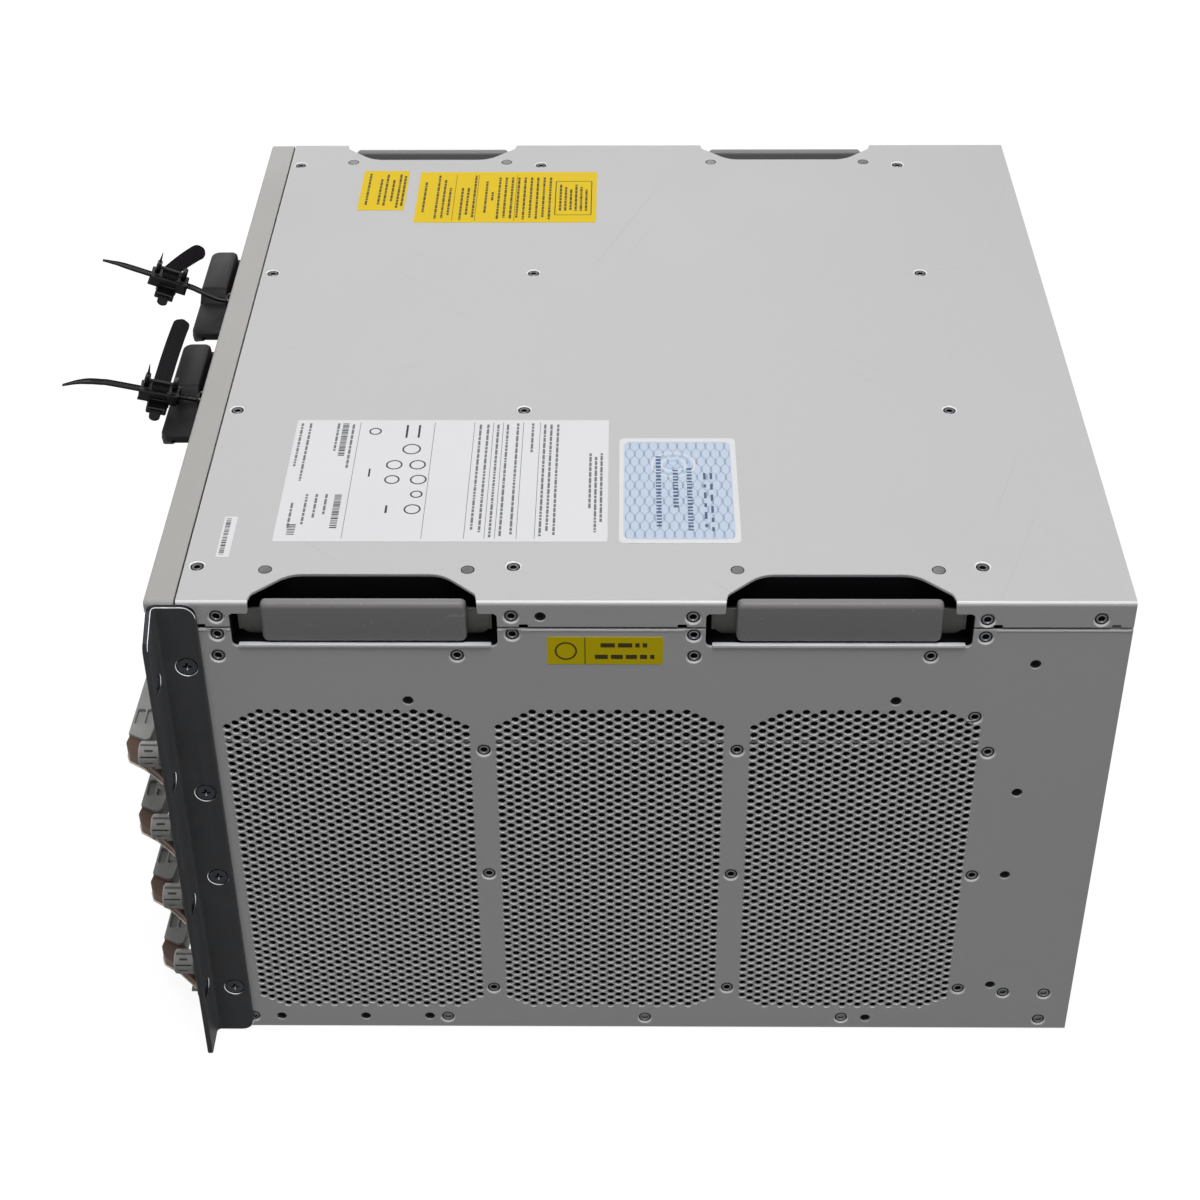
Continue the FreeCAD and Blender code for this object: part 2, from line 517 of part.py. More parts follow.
def make_supply_blank(x):
    """Cover for an empty bay: a shallow pan with spring sides and a finger tab."""
    plate = box(x - SUPPLY_HALF_X, x + SUPPLY_HALF_X, SUPPLY_FACE, SUPPLY_FACE + 1.5, SUPPLY_LOW,
                SUPPLY_HIGH)
    sides = [box(x + a, x + a + 1.2, SUPPLY_FACE, 60.0, SUPPLY_LOW, SUPPLY_HIGH)
             for a in (-SUPPLY_HALF_X, SUPPLY_HALF_X - 1.2)]
    floor = box(x - SUPPLY_HALF_X, x + SUPPLY_HALF_X, SUPPLY_FACE, 60.0, SUPPLY_LOW, SUPPLY_LOW + 1.2)
    tab = bevelled(box(x - 16, x + 16, -9.0, SUPPLY_FACE + 1, 226.0, 228.0), 4.0, "z",
                   lambda p: p.y < -8)
    return fuse([plate, floor, tab] + sides)


# ---------------------------------------------------------------- fan tray

def make_fan_tray():
    """Front plate with a handle and the open frame that holds the fans."""
    plate = box(FAN_PLATE_X[0], FAN_PLATE_X[1], PLATE_FACE, PLATE_BACK, 2.6, 184.4)
    frame = box(TRAY_X[0], TRAY_X[1], PLATE_BACK, 374.0, *FAN_FRAME_Z)
    frame = frame.cut([hole(FAN_BORE_R, (TRAY_X[0] - 1, y, z), "x", 40, 16) for y in FAN_DEPTHS
                       for z in FAN_Z])
    mounts, spoke = [], FAN_BORE_R + 0.5
    for y in FAN_DEPTHS:
        for z in FAN_Z:
            mounts.append(rod(HUB_R, (TRAY_X[1] - 3, y, z), "x", 3.0, 8))
            mounts.append(rod(PIN_R, (TRAY_X[1] - 27, y, z), "x", 25.0, 6))
            mounts.append(box(TRAY_X[1] - 3, TRAY_X[1], y - 2, y + 2, z - spoke, z + spoke))
    handle = box(-204.0, -194.0, -22.0, PLATE_FACE + 0.5, 62.0, 126.0)
    handle = handle.cut(box(-205.0, -193.0, -17.0, PLATE_FACE, 67.0, 121.0))
    handle = bevelled(handle, 3.0, "x", lambda p: p.y < -21)
    screw_bores = [hole(SHANK_BORE_R, (FAN_SCREW_X, -10, z), "y", 12, 8) for z in FAN_SCREW_Z]
    return cut(fuse([plate, frame, handle] + mounts), screw_bores)


def make_rotor(y, z):
    """Five pitched blades round a cup-shaped hub, on the tray's fixed pin."""
    x0, x1 = TRAY_X[0] + 3.0, TRAY_X[1] - 4.0
    hub = rod(HUB_R - 0.5, (x0, y, z), "x", x1 - x0, 2 * BLADES)
    bore = cylinder(PIN_R + 0.06, (x0 + 1.5, y, z), "x", x1 - x0)
    slant = [(x0 + 2, y - 8.0), (x1 - 2, y + 6.5), (x1 - 2, y + 8.5), (x0 + 2, y - 6.0)]
    blades = []
    for i in range(BLADES):
        blade = prism(slant, "z", z + HUB_R - 4, z + ROTOR_R - 3.0)
        blade.rotate(V(x0, y, z), V(1, 0, 0), 360.0 / BLADES * i)
        blades.append(blade)
    return cut(fuse([hub] + blades), [bore])


# ---------------------------------------------------------------- export

def chassis_nodes():
    side, guide, ear = make_side_panel(), make_card_guide(), make_rack_ear()
    nodes = {
        "top_cover": make_top_cover(),
        "front_bezel": make_front_bezel(),
        "side_panel_right": side,
        "side_panel_left": mirrored_x(side),
        "bottom_pan": make_bottom_pan(),
        "rear_panel": make_rear_panel(),
        "supply_cage": make_supply_cage(),
        "fan_bay_wall": make_fan_bay_wall(),
        "backplane": make_backplane(),
        "card_guide_right": guide,
        "card_guide_left": mirrored_x(guide, MIRROR / 2),
        "rack_ear_right": ear,
        "rack_ear_left": mirrored_x(ear),
        "ear_screws": make_ear_screws(),
    }
    for place, centre in HANDLE_DEPTHS.items():
        handle = make_carry_handle(centre)
        nodes["carry_handle_right_" + place] = handle
        nodes["carry_handle_left_" + place] = mirrored_x(handle)
    return nodes


def module_nodes():
    nodes = {}
    for number, z in enumerate(SLOT_Z, start=1):
        name = f"module_{number}"
        nodes[name] = make_module(z, supervisor=number in (2, 3))
        nodes[name + "_lever_right"] = make_lever(z, left=False)
        nodes[name + "_lever_left"] = make_lever(z, left=True)
        nodes[name + "_screw_right"] = make_knob(KNOB_X, z + KNOB_DZ)
        nodes[name + "_screw_left"] = make_knob(MIRROR - KNOB_X, z + KNOB_DZ)
    return nodes


def supply_nodes():
    nodes = {}
    for number, x in enumerate(BAY_X, start=1):
        if number in (1, 4):
            nodes[f"supply_blank_{number}"] = make_supply_blank(x)
            continue
        name = f"supply_{number}"
        nodes[name + "_case"] = make_supply_case(x)
        nodes[name + "_handle"] = make_supply_handle(x)
        line = TIE_LINES[number]
        nodes[name + "_tie"] = make_tie(x, line)
        nodes[name + "_clip"] = make_clip(x, line)
        nodes[name + "_strap"] = make_strap(x, line, curled=number == 2)
    return nodes


def fan_nodes():
    nodes = {"fan_tray": make_fan_tray()}
    for place, z in zip(("low", "high"), FAN_SCREW_Z):
        nodes["fan_tray_screw_" + place] = make_knob(FAN_SCREW_X, z)
    number = 0
    for z in FAN_Z:
        for y in FAN_DEPTHS:
            number += 1
            nodes[f"fan_rotor_{number}"] = make_rotor(y, z)
    return nodes


def main():
    os.makedirs("parts", exist_ok=True)
    nodes = {}
    for group in (chassis_nodes, module_nodes, supply_nodes, fan_nodes):
        nodes.update(group())
    for name, shape in nodes.items():
        placed = shape.copy()
        placed.translate(V(0, -DEPTH / 2, 0))
        placed.exportStep(f"parts/{name}.step")
    print(len(nodes), "nodes")


main()
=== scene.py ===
import math
import random

import bmesh
import bpy
from mathutils import Matrix, Vector
from mathutils.geometry import tessellate_polygon


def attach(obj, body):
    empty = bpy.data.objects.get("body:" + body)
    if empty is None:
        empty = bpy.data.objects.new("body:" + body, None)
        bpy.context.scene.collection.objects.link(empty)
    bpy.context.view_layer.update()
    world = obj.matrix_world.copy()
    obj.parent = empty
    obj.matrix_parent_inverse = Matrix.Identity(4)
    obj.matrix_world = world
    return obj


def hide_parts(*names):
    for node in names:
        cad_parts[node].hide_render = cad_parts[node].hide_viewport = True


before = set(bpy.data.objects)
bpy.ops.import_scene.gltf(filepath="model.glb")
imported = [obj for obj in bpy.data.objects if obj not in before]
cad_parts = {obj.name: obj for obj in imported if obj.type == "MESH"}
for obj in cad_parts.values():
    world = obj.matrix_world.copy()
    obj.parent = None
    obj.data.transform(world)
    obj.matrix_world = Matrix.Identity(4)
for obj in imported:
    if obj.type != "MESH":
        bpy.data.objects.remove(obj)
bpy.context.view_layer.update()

# Sizes in millimetres: x to the right, y behind the front plane, z above the base.
MM = 0.001
DEPTH, HEIGHT, HALF = 427.0, 266.0, 222.5
SHEET = 1.5
FLANGE_Z, PANEL_TOP = 252.4, 251.3
BEND_R = 2.2
BEZEL_REAR, COVER_FRONT = 13.35, 14.15
MIRROR = 43.8                       # left-hand module fittings stand at x = MIRROR - x
GRIP_DEPTHS = {"front": 94.4, "rear": 300.5}
SLOT_Z = (26.05, 71.35, 116.65, 161.95)
BAY_X = (-150.2, -52.4, 45.4, 143.2)
KNOB_X, KNOB_RISE, TRAY_X = 210.0, 6.6, -199.0       # axes of the captive screws
QUARTER = math.pi / 2


def at(x, y, z):
    return Vector((x, y - DEPTH / 2, z)) * MM


# ------------------------------------------------------------------ shapes

class Form:
    """Points in millimetres and faces, each face with the name of its finish; a finish given as a
    function is asked for the name with the points of each face."""

    def __init__(self):
        self.points, self.faces, self.finishes = [], [], []

    def add(self, shape, finish, place=None):
        points, faces = shape
        start = len(self.points)
        self.points += [tuple(place(p)) if place else tuple(p) for p in points]
        self.faces += [tuple(i + start for i in f) for f in faces]
        self.finishes += [finish([points[i] for i in f]) if callable(finish) else finish for f in faces]
        return self

    def blocks(self, finish, *boxes):
        """Adds boxes, each with its six faces, the bevel of its edges and the steps of that."""
        for box in boxes:
            self.add(block(*box), finish)
        return self

    def join(self, other, place=None):
        names = iter(other.finishes)
        return self.add((other.points, other.faces), lambda face: next(names), place)


def mirrored(about=0.0):
    return lambda p: (2 * about - p[0], p[1], p[2])


def moved(dx=0.0, dy=0.0, dz=0.0):
    return lambda p: (p[0] + dx, p[1] + dy, p[2] + dz)


def facing(axis, origin):
    """Places a shape drawn in (a, b, out) so that out points along an axis from the origin."""
    ox, oy, oz = origin
    return {
        "+x": lambda p: (ox + p[2], oy + p[0], oz + p[1]),
        "-x": lambda p: (ox - p[2], oy + p[0], oz + p[1]),
        "-y": lambda p: (ox + p[0], oy - p[2], oz + p[1]),
        "+y": lambda p: (ox + p[0], oy + p[2], oz + p[1]),
        "+z": lambda p: (ox + p[0], oy + p[1], oz + p[2]),
    }[axis]


def upright(y, way=1):
    """Places a sheet drawn in (x, z, depth) across the case; its depth runs rearwards or forwards."""
    return lambda p: (p[0], y + way * p[2], p[1])


def on_sides():
    """The two sides of the case, each with its outward axis, its face and a turn from the right."""
    return ("right", "+x", HALF, None), ("left", "-x", -HALF, mirrored())


def loft(rings, closed=True, capped=True):
    """Skin over rings of equal length, in order."""
    n = len(rings[0])
    points = [p for ring in rings for p in ring]
    faces = []
    for r in range(len(rings) - 1):
        for i in range(n if closed else n - 1):
            j = (i + 1) % n
            faces.append((r * n + i, r * n + j, (r + 1) * n + j, (r + 1) * n + i))
    if capped:
        last = (len(rings) - 1) * n
        faces += [tuple(reversed(range(n))), tuple(last + i for i in range(n))]
    return points, faces


def lathe(profile, segments=16, capped=True):
    """Surface of revolution about the out axis, from (radius, out) pairs."""
    rings = [[(a, b, h) for a, b in circle(0, 0, r, segments)] for r, h in profile]
    return loft(rings, capped=capped)


def disc(radius, out, segments=16):
    return [(a, b, out) for a, b in circle(0, 0, radius, segments)], [tuple(range(segments))]


def block(x0, x1, y0, y1, z0, z1, bevel=0.3, segments=1):
    """Box with softened edges."""
    bm = bmesh.new()
    bmesh.ops.create_cube(bm, size=1.0)
    bmesh.ops.scale(bm, vec=(x1 - x0, y1 - y0, z1 - z0), verts=bm.verts)
    bmesh.ops.translate(bm, vec=((x0 + x1) / 2, (y0 + y1) / 2, (z0 + z1) / 2), verts=bm.verts)
    if bevel:
        bmesh.ops.bevel(bm, geom=bm.edges[:], offset=bevel, segments=segments, profile=0.5,
                        affect="EDGES", clamp_overlap=True)
    return read(bm)


def read(bm):
    bm.verts.ensure_lookup_table()
    bm.verts.index_update()
    points = [tuple(v.co) for v in bm.verts]
    faces = [tuple(v.index for v in f.verts) for f in bm.faces]
    bm.free()
    return points, faces


def signed_area(loop):
    return sum(a[0] * b[1] - b[0] * a[1] for a, b in zip(loop, loop[1:] + loop[:1])) / 2


def inset(loop, distance):
    """Moves a loop to the left of its direction, which is into the material."""
    shifted = []
    for i, p in enumerate(loop):
        before, after = Vector(p) - Vector(loop[i - 1]), Vector(loop[(i + 1) % len(loop)]) - Vector(p)
        n1 = Vector((-before.y, before.x)).normalized()
        n2 = Vector((-after.y, after.x)).normalized()
        shift = (n1 + n2) / max(1 + n1.dot(n2), 0.3) * distance
        shifted.append((p[0] + shift.x, p[1] + shift.y))
    return shifted


def plate(loops, thickness, bevel=0.2, plain=()):
    """Sheet in (a, b, depth) from an outline and its holes; loops whose index is in plain stay sharp."""
    points, faces, front, start = [], [], [], []
    for i, loop in enumerate(loops):
        loop = list(loop)
        if (signed_area(loop) > 0) != (i == 0):
            loop.reverse()
        edge = 0.0 if i in plain else bevel
        rim = inset(loop, edge) if edge else loop
        levels = [(rim, 0.0), (loop, edge), (loop, thickness - edge), (rim, thickness)]
        if not edge:
            levels = [levels[0], levels[3]]
        rings = [[(a, b, w) for a, b in ring] for ring, w in levels]
        wall_points, wall_faces = loft(rings, capped=False)
        base = len(points)
        points += wall_points
        faces += [tuple(base + k for k in f) for f in wall_faces]
        front.append([Vector((a, b, 0)) for a, b in rim])
        start += [(base + k, base + (len(rings) - 1) * len(loop) + k) for k in range(len(loop))]
    for tri in tessellate_polygon(front):
        faces.append(tuple(start[k][0] for k in tri))
        faces.append(tuple(start[k][1] for k in reversed(tri)))
    return points, faces


def raised(shape, top):
    """Sheet in (a, b, out) whose face stands at a height, from one in (a, b, depth)."""
    points, faces = shape
    return [(a, b, top - w) for a, b, w in points], faces


def corners(points, radii, steps=5):
    """Outline whose corners are rounded by the given radii."""
    if not isinstance(radii, (list, tuple)):
        radii = [radii] * len(points)
    outline = []
    for i, (p, radius) in enumerate(zip(points, radii)):
        p, a, b = Vector(p), Vector(points[i - 1]), Vector(points[(i + 1) % len(points)])
        to_a, to_b = a - p, b - p
        angle = to_a.angle(to_b, math.pi)
        if radius <= 0 or angle > math.pi - 0.01:
            outline.append(tuple(p))
            continue
        reach = min(radius / math.tan(angle / 2), 0.49 * to_a.length, 0.49 * to_b.length)
        to_a.normalize()
        to_b.normalize()
        r = reach * math.tan(angle / 2)
        centre = p + (to_a + to_b).normalized() * (r / math.sin(angle / 2))
        first, last = p + to_a * reach - centre, p + to_b * reach - centre
        sweep = first.angle_signed(last)
        for k in range(steps + 1):
            c, s = math.cos(-sweep * k / steps), math.sin(-sweep * k / steps)
            outline.append((centre.x + c * first.x - s * first.y, centre.y + s * first.x + c * first.y))
    return outline


def circle(a, b, radius, count=16):
    angles = [2 * math.pi * i / count for i in range(count)]
    return [(a + radius * math.cos(t), b + radius * math.sin(t)) for t in angles]


def rectangle(a0, a1, b0, b1, radius=0.0, steps=3):
    """Outline with one radius for its corners, or with one for each from (a0, b0) on."""
    return corners([(a0, b0), (a1, b0), (a1, b1), (a0, b1)], radius, steps)


def fold_path(start, heading, parts):
    """Profile of a folded sheet. parts are (length, turn); the result maps a distance along the
    sheet and a depth into it to the profile's plane, and lists where to divide the sheet."""
    runs, cuts, u = [], [], 0.0
    p, a = Vector(start), heading
    left = lambda angle: Vector((-math.sin(angle), math.cos(angle)))
    for length, turn in parts:
        runs.append((u, p.copy(), a, length, turn))
        if turn:
            radius = length / turn
            p = p + left(a) * radius - left(a + turn) * radius
            cuts += [u - 0.35, u + length + 0.35] + [u + length * k / 8 for k in range(9)]
        else:
            p = p + Vector((math.cos(a), math.sin(a))) * length
        a += turn
        u += length

    def place(u, w):
        u0, p, a, length, turn = [r for r in runs if u >= r[0] - 1e-6 or r is runs[0]][-1]
        if turn:
            radius = length / turn
            angle = a + (u - u0) / radius
            return p + left(a) * radius - left(angle) * radius - left(angle) * w
        return p + Vector((math.cos(a), math.sin(a))) * (u - u0) - left(a) * w
    return place, cuts


def divided(shape, cuts):
    """Splits a flat blank's faces along lines at the given places on its first axis."""
    points, faces = shape
    bm = bmesh.new()
    verts = [bm.verts.new(p) for p in points]
    for f in faces:
        if len(set(f)) > 2:
            bm.faces.new([verts[i] for i in f])
    for c in cuts:
        bmesh.ops.bisect_plane(bm, geom=bm.verts[:] + bm.edges[:] + bm.faces[:], dist=1e-5,
                               plane_co=(c, 0.0, 0.0), plane_no=(1.0, 0.0, 0.0))
    return read(bm)


def smooth_line(points, steps):
    """Catmull-Rom line through points."""
    line = []
    ends = [2 * Vector(points[0]) - Vector(points[1])] + [Vector(p) for p in points]
    ends.append(2 * Vector(points[-1]) - Vector(points[-2]))
    for i in range(1, len(ends) - 2):
        a, b, c, d = ends[i - 1:i + 3]
        for k in range(steps):
            t = k / steps
            line.append(0.5 * (2 * b + (c - a) * t + (2 * a - 5 * b + 4 * c - d) * t ** 2
                               + (3 * b - a - 3 * c + d) * t ** 3))
    line.append(Vector(points[-1]))
    return line


# ------------------------------------------------------------------ finishes

def linear(r, g, b):
    def channel(c):
        c /= 255.0
        return c / 12.92 if c <= 0.04045 else ((c + 0.055) / 1.055) ** 2.4
    return (channel(r), channel(g), channel(b), 1.0)


class Graph:
    """Short way to add nodes and links to a node tree."""

    def __init__(self, tree):
        self.tree = tree

    def add(self, kind, inputs=None, **settings):
        node = self.tree.nodes.new(kind)
        for key, value in settings.items():
            setattr(node, key, value)
        return self.fill(node, inputs or {})

    def fill(self, node, inputs):
        for key, value in inputs.items():
            socket = node.inputs[key]
            if isinstance(value, bpy.types.NodeSocket):
                self.tree.links.new(value, socket)
            else:
                socket.default_value = value
        return node

    def place(self, group, inputs):
        """A node group with its sockets filled; the group comes before them."""
        node = self.add("ShaderNodeGroup", node_tree=group)
        return self.fill(node, inputs)

    def noise(self, where, scale, detail=3.0, rough=0.5, stretch=None):
        if stretch:
            where = self.add("ShaderNodeVectorMath", {0: where, 1: stretch}, operation="MULTIPLY").outputs[0]
        return self.add("ShaderNodeTexNoise", {"Vector": where, "Scale": scale, "Detail": detail,
                                               "Roughness": rough}).outputs["Fac"]

    def spread(self, value, low, high, to_low=0.0, to_high=1.0):
        return self.add("ShaderNodeMapRange", {"Value": value, "From Min": low, "From Max": high,
                                               "To Min": to_low, "To Max": to_high}).outputs[0]

    def maths(self, operation, a, b):
        return self.add("ShaderNodeMath", {0: a, 1: b}, operation=operation).outputs[0]

    def mix(self, factor, a, b):
        return self.add("ShaderNodeMix", {0: factor, 6: a, 7: b}, data_type="RGBA").outputs[2]

    def brighten(self, colour, factor):
        """Colour times a number."""
        return self.add("ShaderNodeVectorMath", {0: colour, 3: factor}, operation="SCALE").outputs[0]

    def give(self, sockets, **results):
        """Links results to the sockets of the same names."""
        for name, value in results.items():
            self.tree.links.new(value, sockets[name])
        return self.tree


SKIN = [("Colour", "colour"), ("Roughness", "value"), ("Height", "value")]


def effect(name, inputs, outputs=SKIN):
    """Graph of a new node group with named sockets, and its input and output sockets. Each effect
    takes a place, and a skin also takes its colour."""
    group = bpy.data.node_groups.new(name, "ShaderNodeTree")
    inputs = [("Where", "vector", None)] + ([("Colour", "colour", None)] if outputs is SKIN else []) + inputs
    kinds = {"colour": "NodeSocketColor", "value": "NodeSocketFloat", "vector": "NodeSocketVector"}
    for socket, kind, value in inputs:
        made = group.interface.new_socket(name=socket, in_out="INPUT", socket_type=kinds[kind])
        if value is not None:
            made.default_value = value
    for socket, kind in outputs:
        group.interface.new_socket(name=socket, in_out="OUTPUT", socket_type=kinds[kind])
    graph = Graph(group)
    return graph, graph.add("NodeGroupInput").outputs, graph.add("NodeGroupOutput").inputs


def paint_skin():
    """Powder coat: fine bumps, faint clouding and sparse dust."""
    g, i, o = effect("paint_skin", [("Clouding", "value", 0.04), ("Dust", "value", 0.3)])
    clouds = g.noise(i["Where"], 9.0, 4.0, 0.6)
    tone = g.maths("ADD", 1.0, g.maths("MULTIPLY", g.spread(clouds, 0.3, 0.7, -1.0, 1.0), i["Clouding"]))
    specks = g.maths("MULTIPLY", g.spread(g.noise(i["Where"], 420.0, 0.0), 0.76, 0.82), i["Dust"])
    dusty = g.mix(specks, g.brighten(i["Colour"], tone), (0.75, 0.74, 0.72, 1.0))
    return g.give(o, Colour=dusty, Roughness=g.spread(clouds, 0.3, 0.7, 0.44, 0.56),
                  Height=g.noise(i["Where"], 900.0, 2.0))


def scuffs():
    """Thin handling scratches that cross at several angles, as a mask."""
    g, i, o = effect("scuffs", [("Amount", "value", 0.5)], [("Mask", "value")])
    total = None
    for angle, scale in ((0.35, 5.0), (-0.8, 7.0), (1.35, 4.0)):
        turned = g.add("ShaderNodeVectorRotate", {"Vector": i["Where"], "Angle": angle},
                       rotation_type="Z_AXIS").outputs[0]
        lines = g.spread(g.noise(turned, scale, 1.0, 0.5, (1.0, 90.0, 90.0)), 0.715, 0.745)
        patches = g.spread(g.noise(turned, 11.0, 1.0), 0.52, 0.62)
        mark = g.maths("MULTIPLY", lines, patches)
        total = mark if total is None else g.maths("MAXIMUM", total, mark)
    return g.give(o, Mask=g.maths("MULTIPLY", total, i["Amount"]))


def rolled_metal():
    """Fine lines of rolled or turned metal, along the stretched direction, with blotches."""
    g, i, o = effect("rolled_metal", [("Stretch", "vector", (1.0, 1.0, 1.0)), ("Blotches", "value", 0.1)])
    lines = g.noise(i["Where"], 260.0, 4.0, 0.6, i["Stretch"])
    blotches = g.noise(i["Where"], 60.0, 3.0, 0.6)
    tone = g.maths("ADD", g.spread(lines, 0.3, 0.7, 0.92, 1.05),
                   g.maths("MULTIPLY", g.spread(blotches, 0.3, 0.7, -1.0, 1.0), i["Blotches"]))
    return g.give(o, Colour=g.brighten(i["Colour"], tone),
                  Roughness=g.spread(blotches, 0.3, 0.7, 0.26, 0.42), Height=lines)


def moulded_grain():
    """Spark-eroded grain of moulded plastic, with slight unevenness of tone."""
    g, i, o = effect("moulded_grain", [("Scale", "value", 1200.0)])
    grain = g.add("ShaderNodeTexVoronoi", {"Vector": i["Where"], "Scale": i["Scale"]},
                  feature="SMOOTH_F1").outputs["Distance"]
    uneven = g.noise(i["Where"], 70.0, 3.0)
    return g.give(o, Colour=g.brighten(i["Colour"], g.spread(uneven, 0.3, 0.7, 0.9, 1.1)),
                  Roughness=g.spread(uneven, 0.3, 0.7, 0.42, 0.58), Height=grain)


def hook_and_loop():
    """Matted loops of a fastening strap."""
    g, i, o = effect("hook_and_loop", [])
    loops = g.add("ShaderNodeTexVoronoi", {"Vector": i["Where"], "Scale": 1500.0}).outputs["Distance"]
    fuzz = g.noise(i["Where"], 2600.0, 3.0, 0.7)
    height = g.maths("ADD", loops, fuzz)
    return g.give(o, Colour=g.brighten(i["Colour"], g.spread(height, 0.5, 1.3, 0.6, 1.5)),
                  Roughness=g.spread(fuzz, 0.3, 0.7, 0.8, 0.95), Height=height)


EFFECTS = {make.__name__: make() for make in
           (paint_skin, scuffs, rolled_metal, moulded_grain, hook_and_loop)}
FINISHES = {}


def finish(name, colour, skin, bump=0.1, reach=0.0002, metallic=0.0, specular=0.5, roughness=None,
           wear=None, **values):
    """Material with one skin effect; wear is (amount, colour) of scratches over it."""
    material = bpy.data.materials.new(name)
    material.use_nodes = True
    g = Graph(material.node_tree)
    shader = material.node_tree.nodes["Principled BSDF"]
    shader.inputs["Metallic"].default_value = metallic
    shader.inputs["Specular IOR Level"].default_value = specular
    where = g.add("ShaderNodeTexCoord").outputs["Object"]
    node = g.place(EFFECTS[skin], {"Where": where, "Colour": linear(*colour), **values})
    base, rough = node.outputs["Colour"], node.outputs["Roughness"]
    if wear:
        marks = g.place(EFFECTS["scuffs"], {"Where": where, "Amount": wear[0]})
        base = g.mix(marks.outputs["Mask"], base, linear(*wear[1]))
    if roughness is not None:
        rough = g.spread(rough, 0.2, 0.8, roughness - 0.08, roughness + 0.08)
    bumped = g.add("ShaderNodeBump", {"Strength": bump, "Distance": reach, "Height": node.outputs["Height"]})
    g.give(shader.inputs, **{"Base Color": base, "Roughness": rough, "Normal": bumped.outputs[0]})
    FINISHES[name] = material


